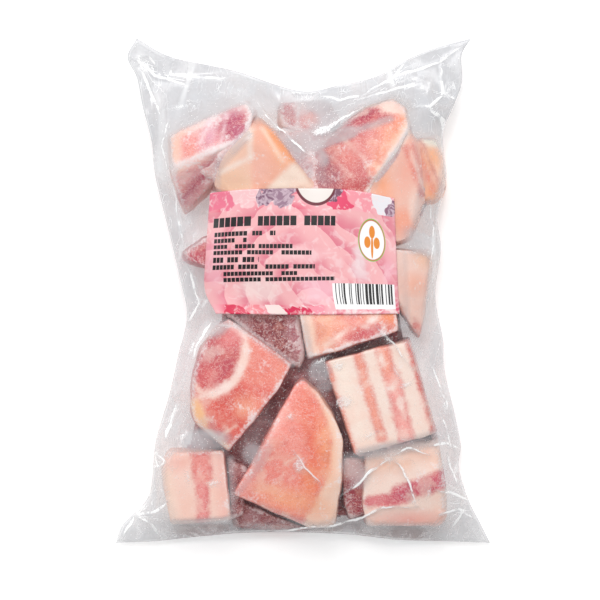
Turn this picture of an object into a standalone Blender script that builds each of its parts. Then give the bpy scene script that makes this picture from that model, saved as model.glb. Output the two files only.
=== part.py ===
"""A clear sealed bag of frozen pork belly cuts, lying on its back, with the label stuck on its front.

The drawing is in millimetres and each mesh is made in metres. +X runs across the bag, +Y from its bottom edge
to its top edge and +Z up from the table. The origin is on the table, under the middle of the bag.
"""

import math

import bmesh
import bpy
import numpy as np
from mathutils import Vector
from mathutils.bvhtree import BVHTree

MM = 0.001

# The flat edge of the bag, as four lines that meet at the pointed corners
LEFT_EDGE = (
    (-102, -137), (-98, -127), (-85, -113), (-82, -101), (-80, -81), (-73, -57), (-68, -35), (-63, -13),
    (-67, 8), (-73, 33), (-80, 62), (-82, 81), (-87, 101), (-90, 116), (-95, 127), (-90, 137),
)
RIGHT_EDGE = (
    (102, -137), (97, -127), (90, -113), (85, -96), (86, -84), (83, -68), (77, -43), (76, -26),
    (72, -2), (75, 22), (73, 41), (78, 60), (76, 85), (81, 99), (86, 113), (86, 128), (91, 137),
)
BOTTOM_EDGE = ((-102, -137), (-80, -136), (-53, -133), (-25, -131), (23, -132), (51, -135), (77, -136), (102, -137))
TOP_EDGE = ((-90, 137), (-71, 127), (-37, 120), (-2, 109), (19, 112), (40, 117), (57, 126), (72, 132), (91, 137))

# Heights of the flat edge over the table
BOTTOM_CORNER_HEIGHT = 4
BOTTOM_EDGE_RISE = 4
TOP_CORNER_HEIGHT = 19
TOP_EDGE_DIP = 10
EDGE_WAVE_HEIGHT = 2.5
SIDE_WAVES = 3.5
END_WAVES = 2.5
EDGE_THICKNESS = 1.2

# The frozen cuts that fill the bag, by the corners of their upper faces: across, along and up
CUTS = {
    "top_left": ((-72, 85, 33), (-31, 103, 29), (-26, 97, 34), (-30, 83, 40), (-49, 75, 42), (-71, 65, 37),
                 (-51, 55, 24), (-64, 42, 14)),
    "peaked": ((-25, 95, 27), (-15, 86, 36), (-6, 70, 38), (9, 54, 31), (6, 46, 32), (-34, 46, 35),
               (-48, 57, 32), (-44, 72, 40), (-30, 84, 43)),
    "sunken": ((-13, 102, 12), (13, 104, 11), (20, 92, 16), (4, 83, 19), (-12, 90, 17)),
    "valley": ((-12, 89, 20), (2, 85, 22), (9, 72, 24), (14, 48, 27), (5, 46, 27), (-5, 66, 25)),
    "top_right": ((4, 72, 29), (23, 91, 33), (35, 99, 30), (48, 104, 26), (55, 99, 31), (58, 88, 38),
                  (51, 76, 42), (37, 59, 42), (31, 47, 38), (10, 47, 36)),
    "right_edge": ((60.5, 82, 36), (72, 82, 26), (76, 72, 24), (77, 57, 21), (74, 54, 29), (73, 50, 27),
                   (65, 48, 33), (60.5, 60, 36)),
    "label_right": ((36.5, 61, 40), (56, 88.5, 37), (62, 80, 38), (64, 62, 37), (66, 49, 34), (59, 30, 33),
                    (50, 26, 36), (36, 41, 38)),
    "left_edge": ((-65, 21, 22), (-53, 29, 29), (-38, 27, 35), (-36, 10, 36), (-50, 13, 30), (-62, 16, 22)),
    "label_left": ((-47, 45, 35), (-2, 46, 36), (-2, 5, 36), (-31, 4, 36), (-35, 27, 36)),
    "label_middle": ((2, 44, 36), (35, 44, 37), (38, 6, 37), (2, 4, 36)),
    "long_right": ((50, 22, 36), (69, 21, 28), (69, 8, 27), (66, -3, 26), (63, -24, 22), (59, -20, 26),
                   (52, -4, 34), (42, 6, 36)),
    "oval": ((-40, -15, 36), (-18, -31, 38), (-6, -39, 37), (-14, -53, 40), (-27, -68, 40), (-40, -86, 36),
             (-58, -70, 34), (-60, -63, 34), (-59, -45, 34), (-55, -32, 34), (-48, -21, 34)),
    "frosted": ((-45, 1, 28), (-4, 0, 30), (1, -35, 25), (-2, -42, 22), (-22, -28, 25), (-41, -13, 26)),
    "wide": ((-4, 0, 36), (3, -36, 37), (21, -31, 40), (51, -21, 38), (48, 2, 36)),
    "striped": ((12, -38, 39), (57, -26, 38), (72, -76, 37), (28, -88, 41)),
    "wedge": ((0, -47, 38), (-4, -50, 38), (-19, -80, 42), (-37, -109, 37), (-10, -121, 36), (4, -127, 32),
              (17, -126, 32), (21, -101, 40), (21, -80, 41), (16, -66, 40), (8, -54, 38)),
    "bottom_left": ((-75, -91, 30), (-71, -87, 30), (-43, -86, 34), (-39, -123, 34), (-71, -125, 28), (-76, -97, 29)),
    "bottom_right": ((35, -87, 34), (72, -82, 31), (76, -102, 33), (77, -123, 27), (73, -127, 25), (35, -126, 29),
                     (32, -113, 33)),
    "bottom_dark": ((-38, -112, 21), (-12, -123, 21), (4, -129, 15), (-12, -130, 12), (-37, -128, 14)),
    "dark": ((22, -90, 26), (33, -90, 27), (37, -118, 26), (25, -123, 24), (22, -113, 26)),
    "small_dark": ((-41, -90, 22), (-30, -95, 24), (-34, -110, 24), (-32, -121, 22), (-39, -123, 22)),
}
CUT_FOOT_SPREAD = 2.0
CUT_CORNER_ROUND = 2.0

# The film: its cells, how far it sags between the cuts, and the passes that pull it tight
FILM_COLUMNS = 44
FILM_ROWS = 58
FILM_SAG_CURVE = 0.04
FILM_PASSES = 700
FILM_SOFTENING_PASSES = 3
LABEL_STIFFENING_PASSES = 8

# The label: its four edges, seen from above
LABEL_BOTTOM_EDGE = ((-47, -12), (0, -12.5), (52, -12))
LABEL_TOP_EDGE = ((-50, 53), (-26, 55), (20, 55), (49, 50))
LABEL_LEFT_EDGE = ((-47, -12), (-53, 1), (-52.5, 20), (-50, 53))
LABEL_RIGHT_EDGE = ((52, -12), (51, 5), (49, 50))
LABEL_COLUMNS = 24
LABEL_ROWS = 15
LABEL_THICKNESS = 0.3
LABEL_CLEARANCE = 0.35
LABEL_HOLD = 6

OVER_THE_BAG = 100


def line_point(points, share):
    """The place at a share of the way along a smooth line that passes through the points."""
    spots = np.array(points, float)
    steps = np.linalg.norm(np.diff(spots, axis=0), axis=1)
    reached = np.concatenate(([0], np.cumsum(steps))) / steps.sum()
    stretch = min(int(np.searchsorted(reached, share, side="right")) - 1, len(spots) - 2)
    t = (share - reached[stretch]) / (reached[stretch + 1] - reached[stretch])
    start, end = spots[stretch], spots[stretch + 1]
    before = spots[stretch - 1] if stretch else 2 * start - end
    after = spots[stretch + 2] if stretch + 2 < len(spots) else 2 * end - start
    bend = 2 * before - 5 * start + 4 * end - after
    twist = 3 * (start - end) + after - before
    return start + 0.5 * t * ((end - before) + t * (bend + t * twist))


def sheet_places(left, right, bottom, top, columns, rows):
    """Places of a sheet's grid points between its four edges, seen from above."""
    lefts = [line_point(left, row / rows) for row in range(rows + 1)]
    rights = [line_point(right, row / rows) for row in range(rows + 1)]
    bottoms = [line_point(bottom, column / columns) for column in range(columns + 1)]
    tops = [line_point(top, column / columns) for column in range(columns + 1)]
    places = np.zeros((columns + 1, rows + 1, 2))
    for column in range(columns + 1):
        for row in range(rows + 1):
            u, v = column / columns, row / rows
            across = (1 - u) * lefts[row] + u * rights[row]
            along = (1 - v) * bottoms[column] + v * tops[column]
            low = (1 - u) * bottoms[0] + u * bottoms[-1]
            high = (1 - u) * tops[0] + u * tops[-1]
            places[column, row] = across + along - (1 - v) * low - v * high
    return places


def edge_height(u, v):
    """Height of the bag's flat edge: lowest at the two bottom corners, highest at the two top ones, slightly wavy."""
    ends = BOTTOM_CORNER_HEIGHT + v * (TOP_CORNER_HEIGHT - BOTTOM_CORNER_HEIGHT)
    dip = (TOP_EDGE_DIP * v - BOTTOM_EDGE_RISE * (1 - v)) * math.sin(math.pi * u)
    side_wave = math.sin(2 * math.pi * SIDE_WAVES * v) * math.sin(math.pi * v) * (2 * u - 1)
    end_wave = math.sin(2 * math.pi * END_WAVES * u) * math.sin(math.pi * u) * (2 * v - 1)
    return ends - dip + EDGE_WAVE_HEIGHT * (side_wave + end_wave)


def cut_block(corners):
    """One frozen cut, from its upper corners down to a slightly wider foot, with rounded edges."""
    middle = sum((Vector(corner) for corner in corners), Vector()) / len(corners)
    block = bmesh.new()
    for corner in corners:
        top = block.verts.new(corner)
        outward = (top.co - middle).xy.normalized() * CUT_FOOT_SPREAD
        block.verts.new((top.co.x + outward.x, top.co.y + outward.y, 0))
    hull = bmesh.ops.convex_hull(block, input=block.verts)
    spare = [part for part in hull["geom_interior"] if isinstance(part, bmesh.types.BMVert)]
    bmesh.ops.delete(block, geom=spare, context="VERTS")
    bmesh.ops.bevel(
        block, geom=block.edges[:], offset=CUT_CORNER_ROUND, offset_type="OFFSET", affect="EDGES",
        segments=2, profile=0.5, clamp_overlap=True, material=-1,
    )
    return block


def meat_heights(places):
    """How high the cuts reach under each grid point of the film, and minus one where there is none."""
    heights = np.full(places.shape[:2], -1.0)
    for corners in CUTS.values():
        block = cut_block(corners)
        tree = BVHTree.FromBMesh(block)
        block.free()
        for column, row in np.ndindex(heights.shape):
            above = Vector((*places[column, row], OVER_THE_BAG))
            hit = tree.ray_cast(above, Vector((0, 0, -1)))[0]
            if hit:
                heights[column, row] = max(heights[column, row], hit.z)
    return heights


def neighbours(heights):
    """The mean height of the four points around each inner point."""
    return (heights[:-2, 1:-1] + heights[2:, 1:-1] + heights[1:-1, :-2] + heights[1:-1, 2:]) / 4


def label_hold(places):
    """How far the stiff label holds the film at each grid point: one under it, fading to none just outside."""
    low = np.array((LABEL_LEFT_EDGE[1][0], LABEL_BOTTOM_EDGE[0][1]))
    high = np.array((LABEL_RIGHT_EDGE[0][0], LABEL_TOP_EDGE[1][1]))
    outside = np.maximum(np.maximum(low - places, places - high), 0).max(axis=2)
    return np.clip(1 - outside / LABEL_HOLD, 0, 1)


def film_heights(places):
    """Heights of the front film, pulled over the cuts, and of the back film, which the cuts press on the table."""
    columns, rows = FILM_COLUMNS, FILM_ROWS
    edge = np.array([[edge_height(u / columns, v / rows) for v in range(rows + 1)] for u in range(columns + 1)])
    meat = meat_heights(places)
    cell = np.linalg.norm(places[columns // 2, rows // 2] - places[columns // 2 + 1, rows // 2])
    sag = FILM_SAG_CURVE * cell ** 2 / 4
    front, back = edge + EDGE_THICKNESS / 2, edge - EDGE_THICKNESS / 2
    for _ in range(FILM_PASSES):
        front[1:-1, 1:-1] = np.maximum(neighbours(front) - sag, meat[1:-1, 1:-1])
        back[1:-1, 1:-1] = np.where(meat[1:-1, 1:-1] > 0, 0, neighbours(back))
    for _ in range(FILM_SOFTENING_PASSES):
        front[1:-1, 1:-1] = (front[1:-1, 1:-1] + neighbours(front)) / 2
    hold = label_hold(places)[1:-1, 1:-1]
    for _ in range(LABEL_STIFFENING_PASSES):
        front[1:-1, 1:-1] += hold * (neighbours(front) - front[1:-1, 1:-1])
    return np.maximum(front, back + EDGE_THICKNESS), back


def sheet_block(columns, rows):
    """A closed slab of unit cells: its x and y count the grid's columns and rows, its z tells front from back."""
    slab = bmesh.new()
    bmesh.ops.create_grid(slab, x_segments=columns, y_segments=rows, size=0.5)
    bmesh.ops.scale(slab, verts=slab.verts, vec=(columns, rows, 1))
    bmesh.ops.translate(slab, verts=slab.verts, vec=(columns / 2, rows / 2, 0))
    bmesh.ops.solidify(slab, geom=slab.faces[:], thickness=1)
    bmesh.ops.recalc_face_normals(slab, faces=slab.faces)
    return slab


def placed_slab(places, front, back):
    """The slab bent so that its two faces lie at the front and back heights over the grid's places."""
    slab = sheet_block(places.shape[0] - 1, places.shape[1] - 1)
    middle = sum(point.co.z for point in slab.verts) / len(slab.verts)
    for point in slab.verts:
        spot = round(point.co.x), round(point.co.y)
        height = (front if point.co.z > middle else back)[spot]
        point.co = (*places[spot], height)
    bmesh.ops.triangulate(slab, faces=slab.faces[:], quad_method="FIXED")
    return slab


def solid(name, shape, material):
    """An object in metres from a shape drawn in millimetres."""
    bmesh.ops.scale(shape, verts=shape.verts, vec=(MM, MM, MM))
    mesh = bpy.data.meshes.new(name)
    shape.to_mesh(mesh)
    shape.free()
    mesh.shade_smooth()
    mesh.set_sharp_from_angle(angle=math.radians(50))
    mesh.materials.append(material)
    made = bpy.data.objects.new(name, mesh)
    bpy.context.scene.collection.objects.link(made)
    return made


def finish(name, colour, roughness):
    material = bpy.data.materials.new(name)
    material.use_nodes = True
    surface = material.node_tree.nodes["Principled BSDF"]
    surface.inputs["Base Color"].default_value = (*colour, 1)
    surface.inputs["Roughness"].default_value = roughness
    surface.inputs["Metallic"].default_value = 0
    return material


def bag_shape():
    places = sheet_places(LEFT_EDGE, RIGHT_EDGE, BOTTOM_EDGE, TOP_EDGE, FILM_COLUMNS, FILM_ROWS)
    front, back = film_heights(places)
    back -= back.min()
    return placed_slab(places, front, back)


def label_shape(bag):
    """The label follows the front film, a little above it."""
    places = sheet_places(
        LABEL_LEFT_EDGE, LABEL_RIGHT_EDGE, LABEL_BOTTOM_EDGE, LABEL_TOP_EDGE, LABEL_COLUMNS, LABEL_ROWS
    )
    tree = BVHTree.FromBMesh(bag)
    under = np.zeros(places.shape[:2])
    for spot in np.ndindex(under.shape):
        under[spot] = tree.ray_cast(Vector((*places[spot], OVER_THE_BAG)), Vector((0, 0, -1)))[0].z
    back = under + LABEL_CLEARANCE
    return placed_slab(places, back + LABEL_THICKNESS, back)


def main():
    for old in list(bpy.data.objects):
        bpy.data.objects.remove(old)
    bag = bag_shape()
    label = label_shape(bag)
    solid("bag", bag, finish("film_over_frozen_pork", (0.85, 0.52, 0.47), 0.3))
    solid("label", label, finish("printed_label", (0.92, 0.62, 0.68), 0.4))


main()
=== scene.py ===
"""Looks of a clear sealed bag of frozen pork belly cuts that lies on its back, label up.

Shapes are worked out in millimetres and made in metres. +X runs across the bag, +Y from its bottom edge to
its top edge, and +Z up from the table.
"""

import math

import bmesh
import bpy
import numpy as np
from mathutils import Matrix, Vector, noise
from mathutils.bvhtree import BVHTree


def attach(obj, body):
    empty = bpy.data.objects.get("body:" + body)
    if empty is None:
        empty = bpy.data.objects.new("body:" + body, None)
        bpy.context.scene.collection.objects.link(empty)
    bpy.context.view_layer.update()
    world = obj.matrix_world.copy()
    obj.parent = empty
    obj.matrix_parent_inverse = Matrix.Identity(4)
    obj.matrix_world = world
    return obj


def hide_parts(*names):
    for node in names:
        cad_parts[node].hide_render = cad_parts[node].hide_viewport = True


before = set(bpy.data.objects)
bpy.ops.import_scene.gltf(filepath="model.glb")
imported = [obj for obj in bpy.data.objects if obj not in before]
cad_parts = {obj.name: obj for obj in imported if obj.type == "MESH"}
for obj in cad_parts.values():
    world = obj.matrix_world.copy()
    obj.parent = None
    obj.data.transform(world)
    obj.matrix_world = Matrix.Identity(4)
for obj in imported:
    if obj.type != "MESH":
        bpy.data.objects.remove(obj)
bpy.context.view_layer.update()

MM = 0.001

# The bag's edge seen from above, as four lines between its pointed corners
LEFT_EDGE = (
    (-102, -137), (-98, -127), (-85, -113), (-82, -101), (-80, -81), (-73, -57), (-68, -35), (-63, -13),
    (-67, 8), (-73, 33), (-80, 62), (-82, 81), (-87, 101), (-90, 116), (-95, 127), (-90, 137),
)
RIGHT_EDGE = (
    (102, -137), (97, -127), (90, -113), (85, -96), (86, -84), (83, -68), (77, -43), (76, -26),
    (72, -2), (75, 22), (73, 41), (78, 60), (76, 85), (81, 99), (86, 113), (86, 128), (91, 137),
)
BOTTOM_EDGE = (
    (-102, -137), (-80, -136), (-53, -133), (-25, -131), (23, -132), (51, -135), (77, -136), (102, -137),
)
TOP_EDGE = (
    (-90, 137), (-71, 127), (-37, 120), (-2, 109), (19, 112), (40, 117), (57, 126), (72, 132), (91, 137),
)

BOTTOM_CORNER_HEIGHT = 4
BOTTOM_EDGE_RISE = 4
TOP_CORNER_HEIGHT = 19
TOP_EDGE_DIP = 10
EDGE_WAVE_HEIGHT = 2.5
SIDE_WAVES = 3.5
END_WAVES = 2.5
EDGE_THICKNESS = 0.2

LABEL_BOTTOM_EDGE = ((-47, -12), (0, -12.5), (52, -12))
LABEL_TOP_EDGE = ((-50, 53), (-26, 55), (20, 55), (49, 50))
LABEL_LEFT_EDGE = ((-47, -12), (-53, 1), (-52.5, 20), (-50, 53))
LABEL_RIGHT_EDGE = ((52, -12), (51, 5), (49, 50))
LABEL_HOLD = 6

OVER_THE_BAG = 100
DOWN = Vector((0, 0, -1))


# Shapes of lean and fat seen from above: each gives how far inside it a point lies, in millimetres
def patch(*corners):
    """A convex patch between its corners, which run clockwise."""
    def inside(x, y):
        depth = np.full_like(x, np.inf)
        for (x0, y0), (x1, y1) in zip(corners, corners[1:] + corners[:1]):
            run = math.hypot(x1 - x0, y1 - y0)
            depth = np.minimum(depth, ((x - x0) * (y1 - y0) - (y - y0) * (x1 - x0)) / run)
        return depth
    return inside


def oval(middle_x, middle_y, half_width, half_height, turn=0):
    def inside(x, y):
        cos, sin = math.cos(math.radians(turn)), math.sin(math.radians(turn))
        along = ((x - middle_x) * cos + (y - middle_y) * sin) / half_width
        up = ((y - middle_y) * cos - (x - middle_x) * sin) / half_height
        return (1 - np.hypot(along, up)) * min(half_width, half_height)
    return inside


def band(start, end, half_width):
    def inside(x, y):
        run = np.subtract(end, start)
        share = np.clip(((x - start[0]) * run[0] + (y - start[1]) * run[1]) / (run @ run), 0, 1)
        return half_width - np.hypot(x - start[0] - share * run[0], y - start[1] - share * run[1])
    return inside


def within(shape, spots, fade, lead=1.0):
    """One where spots lie well inside a shape and none outside it, with a soft edge between."""
    return np.clip(shape(spots[..., 0], spots[..., 1]) / fade + lead, 0, 1)


def eased(share):
    """A share from none to one that starts and ends gently."""
    return share * share * (3 - 2 * share)


def everywhere(x, y):
    return np.full_like(x, 9.0)


# Colours of the meat
CREAM = (0.93, 0.68, 0.58)
PINK_FAT = (0.96, 0.68, 0.63)
SALMON = (0.84, 0.17, 0.12)
ROSE = (0.86, 0.29, 0.26)
RED = (0.62, 0.10, 0.11)
CRIMSON = (0.55, 0.09, 0.14)
MAUVE = (0.50, 0.16, 0.22)
MAROON = (0.30, 0.045, 0.055)
GREY_PINK = (0.62, 0.38, 0.40)
# Dark red of the cuts' lower sides in the gaps: partly their lean, partly painted shade
GAP_SHADE_RED = (0.40, 0.035, 0.045)

# Each frozen cut: the corners of its upper face (across, along and up), its fat, how frosty it is, and what
# is painted over the fat, in order. Lean and fat have an edge, and a tint only shades what is there
CUTS = {
    "top_left": (
        ((-72, 85, 33), (-31, 103, 29), (-26, 97, 34), (-30, 83, 40), (-49, 75, 42), (-71, 65, 37),
         (-51, 55, 24), (-64, 42, 14)),
        (0.96, 0.70, 0.66), 0.6, (
            ("tint", oval(-68, 77, 6, 11), (0.97, 0.60, 0.48)),
            ("lean", patch((-66, 83), (-31, 96), (-29, 84), (-48, 77), (-64, 69)), (0.88, 0.44, 0.43)),
            ("tint", oval(-60, 76, 5, 7), (0.92, 0.38, 0.33)),
            ("tint", oval(-50, 83, 4, 8, -20), (0.80, 0.48, 0.58)),
            ("tint", oval(-37, 89, 8, 9, -20), (0.50, 0.08, 0.18)),
            ("fat", band((-55, 80), (-50, 92), 0.8), (0.93, 0.72, 0.76)),
            ("fat", band((-44, 79), (-41, 95), 0.8), (0.90, 0.66, 0.72)),
            ("fat", band((-72, 66), (-48, 77), 1.0), (0.97, 0.80, 0.78)),
            ("lean", patch((-70, 62), (-48, 72), (-47, 56), (-64, 42)), (0.93, 0.66, 0.68)),
            ("tint", band((-66, 50), (-46, 69), 2.6), (0.48, 0.05, 0.13)),
        ),
    ),
    "peaked": (
        ((-25, 95, 27), (-15, 86, 36), (-6, 70, 38), (9, 54, 31), (6, 46, 32), (-34, 46, 35),
         (-48, 57, 32), (-44, 72, 40), (-30, 84, 43)),
        (0.95, 0.60, 0.45), 0.25, (
            ("tint", oval(-38, 58, 9, 8), (0.91, 0.57, 0.40)),
            ("fat", patch((-27, 96), (-14, 90), (-3, 70), (-18, 54), (-28, 52), (-27, 72)),
             (0.95, 0.46, 0.32)),
            ("fat", patch((-22, 95), (-12, 90), (-4, 70), (-11, 64), (-20, 82)), (0.96, 0.46, 0.26)),
            ("fat", patch((-22, 96), (-3, 71), (-6, 68.5), (-24, 92)), (0.97, 0.36, 0.13)),
            ("tint", oval(-23, 66, 4, 7), (0.95, 0.50, 0.40)),
            ("fat", band((-22, 88), (-11, 70), 0.4), (0.98, 0.78, 0.64)),
            ("fat", band((-29, 88), (-28, 72), 0.9), (0.97, 0.82, 0.74)),
            ("fat", band((-28, 72), (-44, 64), 0.9), (0.97, 0.82, 0.74)),
            ("fat", patch((-6, 69), (-3, 68), (9, 53), (-2, 44), (-22, 48), (-19, 56)), (0.97, 0.76, 0.63)),
        ),
    ),
    "sunken": (
        ((-13, 102, 12), (13, 104, 11), (20, 92, 16), (4, 83, 19), (-12, 90, 17)),
        (0.78, 0.66, 0.66), 0.6, (
            ("lean", oval(-8, 96, 4.5, 9, 15), (0.56, 0.16, 0.19)),
            ("lean", oval(3, 93, 6, 6, -30), (0.80, 0.40, 0.36)),
            ("tint", oval(13, 96, 5, 6), (0.72, 0.62, 0.64)),
        ),
    ),
    "valley": (
        ((-12, 89, 20), (2, 85, 22), (9, 72, 24), (14, 48, 27), (5, 46, 27), (-5, 66, 25)),
        (0.74, 0.64, 0.65), 0.5, (
            # Dark grey-brown streaks down the valley: painted shade in the hollow between the cuts
            ("lean", band((5, 72), (13, 54), 2.2), (0.20, 0.12, 0.13)),
            ("lean", band((1, 70), (8, 56), 1.0), (0.34, 0.20, 0.21)),
        ),
    ),
    "top_right": (
        ((4, 72, 29), (23, 91, 33), (35, 99, 30), (48, 104, 26), (55, 99, 31), (58, 88, 38),
         (51, 76, 42), (37, 59, 42), (31, 47, 38), (10, 47, 36)),
        (0.95, 0.70, 0.60), 0.35, (
            ("lean", patch((2, 74), (22, 93), (35, 100), (44, 99), (55, 93), (36, 58), (28, 44), (6, 44)),
             (0.66, 0.17, 0.17)),
            ("tint", oval(13, 62, 8, 12), (0.42, 0.13, 0.16)),
            ("tint", oval(27, 74, 9, 6, 40), (0.78, 0.26, 0.23)),
            ("tint", oval(45, 84, 11, 5, 50), (0.93, 0.42, 0.28)),
            ("tint", band((54, 94), (38, 66), 1.6), (0.95, 0.44, 0.24)),
            ("fat", oval(48, 100, 8, 4.5, -20), (0.94, 0.68, 0.60)),
            ("lean", oval(34, 95, 8, 3.6, 22), (0.40, 0.03, 0.09)),
            ("fat", band((22, 82), (34, 70), 0.7), (0.88, 0.52, 0.46)),
            ("fat", band((16, 72), (26, 62), 0.5), (0.86, 0.50, 0.46)),
            ("fat", band((57, 86), (32, 46), 1.6), (0.97, 0.82, 0.72)),
        ),
    ),
    "right_edge": (
        ((60.5, 82, 36), (72, 82, 26), (76, 72, 24), (77, 57, 21), (74, 54, 29), (73, 50, 27), (65, 48, 33),
         (60.5, 60, 36)),
        (0.94, 0.58, 0.46), 0.2, (
            ("tint", oval(66, 66, 5, 18, -20), (0.90, 0.42, 0.30)),
            ("lean", band((61, 78), (70, 54), 1.4), (0.86, 0.32, 0.23)),
            ("tint", oval(69, 53, 5, 4), (0.97, 0.44, 0.25)),
            ("fat", patch((63, 84), (74, 84), (79, 54), (75, 54)), (0.98, 0.66, 0.52)),
            ("tint", oval(70, 73, 5, 6), (0.98, 0.50, 0.29)),
            ("lean", band((63.5, 81), (75, 55), 0.9), (0.60, 0.30, 0.24)),
            ("fat", band((66, 81), (72, 80), 2.2), (1.0, 0.90, 0.76)),
        ),
    ),
    "label_right": (
        ((36.5, 61, 40), (56, 88.5, 37), (62, 80, 38), (64, 62, 37), (66, 49, 34), (59, 30, 33), (50, 26, 36),
         (36, 41, 38)),
        (0.90, 0.52, 0.42), 0.2, (
            ("tint", oval(54, 37, 7, 7), (0.93, 0.38, 0.26)),
            ("tint", oval(43, 57, 4, 9, 10), (0.96, 0.38, 0.20)),
            ("tint", oval(57, 68, 5, 13, -20), (0.90, 0.42, 0.32)),
            ("lean", band((55, 77), (64, 52), 1.3), (0.80, 0.26, 0.19)),
            ("lean", band((59, 79), (65, 60), 1.0), (0.82, 0.30, 0.23)),
            ("fat", band((57, 76), (65, 56), 0.5), (0.97, 0.74, 0.64)),
            ("fat", band((39, 64), (55, 86), 2.6), (0.97, 0.80, 0.68)),
            ("fat", oval(60, 45, 3, 8), (0.94, 0.66, 0.57)),
        ),
    ),
    "left_edge": (
        ((-65, 21, 22), (-53, 29, 29), (-38, 27, 35), (-36, 10, 36), (-50, 13, 30), (-62, 16, 22)),
        GREY_PINK, 0.5, (("lean", everywhere, CRIMSON), ("tint", band((-64, 22), (-54, 28), 1.5), GREY_PINK)),
    ),
    "label_left": (
        ((-47, 45, 35), (-2, 46, 36), (-2, 5, 36), (-31, 4, 36), (-35, 27, 36)),
        CREAM, 0.4, (
            ("lean", band((-40, 36), (0, 36), 4), SALMON), ("lean", band((-34, 14), (0, 14), 5), RED),
        ),
    ),
    "label_middle": (
        ((2, 44, 36), (35, 44, 37), (38, 6, 37), (2, 4, 36)),
        PINK_FAT, 0.4, (
            ("lean", band((10, 46), (10, 2), 3), ROSE), ("lean", band((27, 46), (27, 2), 5), RED),
        ),
    ),
    "long_right": (
        ((50, 22, 36), (69, 21, 28), (69, 8, 27), (66, -3, 26), (63, -24, 22), (59, -20, 26), (52, -4, 34),
         (42, 6, 36)),
        (0.94, 0.64, 0.55), 0.3, (
            ("tint", oval(60, 4, 6, 5), (0.94, 0.50, 0.38)),
            ("tint", oval(66, 18, 5, 5), (0.95, 0.58, 0.42)),
            ("lean", oval(62, -20, 2.6, 4), (0.85, 0.33, 0.28)),
        ),
    ),
    "oval": (
        ((-40, -15, 36), (-18, -31, 38), (-6, -39, 37), (-14, -53, 40), (-27, -68, 40), (-40, -86, 36),
         (-58, -70, 34), (-60, -63, 34), (-59, -45, 34), (-55, -32, 34), (-48, -21, 34)),
        (0.93, 0.62, 0.52), 0.42, (
            ("lean", everywhere, (0.78, 0.15, 0.11)),
            ("tint", patch((-36, -20), (-6, -38), (-16, -54), (-32, -50)), (0.85, 0.27, 0.20)),
            ("tint", oval(-38, -66, 11, 14, -30), (0.76, 0.14, 0.10)),
            ("tint", oval(-30, -62, 7, 6, -30), (0.90, 0.38, 0.24)),
            ("fat", oval(-44, -37.5, 14, 21.5, -26), (0.95, 0.72, 0.65)),
            ("lean", oval(-46, -36, 11.4, 18.4, -26), (0.56, 0.08, 0.11)),
            ("lean", patch((-66, -30), (-54, -30), (-54, -44), (-66, -52)), (0.56, 0.08, 0.11)),
            ("tint", oval(-40, -25, 6, 6), (0.80, 0.24, 0.24)),
            ("tint", oval(-51, -44, 5, 6), (0.72, 0.16, 0.16)),
            ("fat", band((-61, -60), (-40, -50), 1.4), (0.96, 0.76, 0.70)),
            ("fat", band((-58, -61), (-54, -71), 3.4), (0.94, 0.52, 0.26)),
            ("fat", band((-56, -71), (-41, -84), 2.0), (0.94, 0.54, 0.32)),
            ("fat", band((-52, -68), (-40, -74), 0.8), CREAM),
            ("fat", band((-52, -75), (-43, -80), 0.8), CREAM),
            ("fat", band((-46, -79), (-36, -72), 0.8), CREAM),
            ("lean", oval(-46, -71, 4, 2, -20), (0.78, 0.10, 0.08)),
        ),
    ),
    "frosted": (
        ((-45, 1, 28), (-4, 0, 30), (1, -35, 25), (-2, -42, 22), (-22, -28, 25), (-41, -13, 26)),
        GREY_PINK, 0.65, (
            ("lean", everywhere, (0.24, 0.04, 0.055)), ("tint", band((-8, 0), (0, -34), 3), MAUVE),
        ),
    ),
    "wide": (
        ((-4, 0, 36), (3, -36, 37), (21, -31, 40), (51, -21, 38), (48, 2, 36)),
        (0.94, 0.64, 0.52), 0.45, (
            ("lean", patch((3, 3), (52, 3), (52, -24), (20, -34), (9, -36)), (0.93, 0.42, 0.28)),
            ("tint", oval(12, -18, 5, 10), (0.96, 0.52, 0.34)),
            ("tint", oval(27, -12, 5, 6), (0.84, 0.28, 0.24)),
            ("tint", oval(34, -22, 14, 4, 18), (0.66, 0.09, 0.11)),
            ("tint", oval(47, -10, 5, 8), (0.95, 0.40, 0.18)),
            ("lean", oval(29, -26, 4, 2, 20), (0.56, 0.05, 0.08)),
            ("lean", oval(40, -21, 4, 2, 20), (0.60, 0.07, 0.10)),
            ("fat", oval(38, -15, 4, 1.8, 30), (0.97, 0.82, 0.76)),
            ("fat", oval(43, -20, 2.4, 1.2, 60), (0.97, 0.82, 0.78)),
            ("fat", oval(33, -19, 3, 1.0, -20), (0.96, 0.76, 0.70)),
            ("fat", oval(19, -24, 5, 1.4, 30), (0.96, 0.76, 0.68)),
            ("fat", oval(24, -28, 3, 1.0, 10), (0.96, 0.78, 0.70)),
            ("fat", oval(22, -8, 1.0, 4, 20), (0.96, 0.70, 0.60)),
            ("fat", oval(31, -7, 3, 1.0, 30), (0.96, 0.70, 0.60)),
            ("fat", band((12, -29), (20, -26), 0.8), CREAM),
        ),
    ),
    "striped": (
        ((12, -38, 39), (57, -26, 38), (72, -76, 37), (28, -88, 41)),
        (0.93, 0.74, 0.65), 0.25, (
            ("tint", band((20, -38), (34, -84), 3), (0.95, 0.79, 0.69)),
            ("lean", band((12.6, -38), (28.4, -88), 1.0), (0.95, 0.30, 0.13)),
            ("lean", band((27.5, -28), (42, -78), 2.8), (0.94, 0.48, 0.34)),
            ("lean", band((41.5, -26), (47, -46), 4.0), (0.94, 0.44, 0.31)),
            ("lean", band((49, -50), (57, -86), 4.4), (0.95, 0.50, 0.44)),
            ("lean", band((50, -44), (52, -50), 1.6), (0.92, 0.46, 0.38)),
            ("lean", band((56, -25), (71.4, -78), 1.8), (0.80, 0.18, 0.12)),
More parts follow.
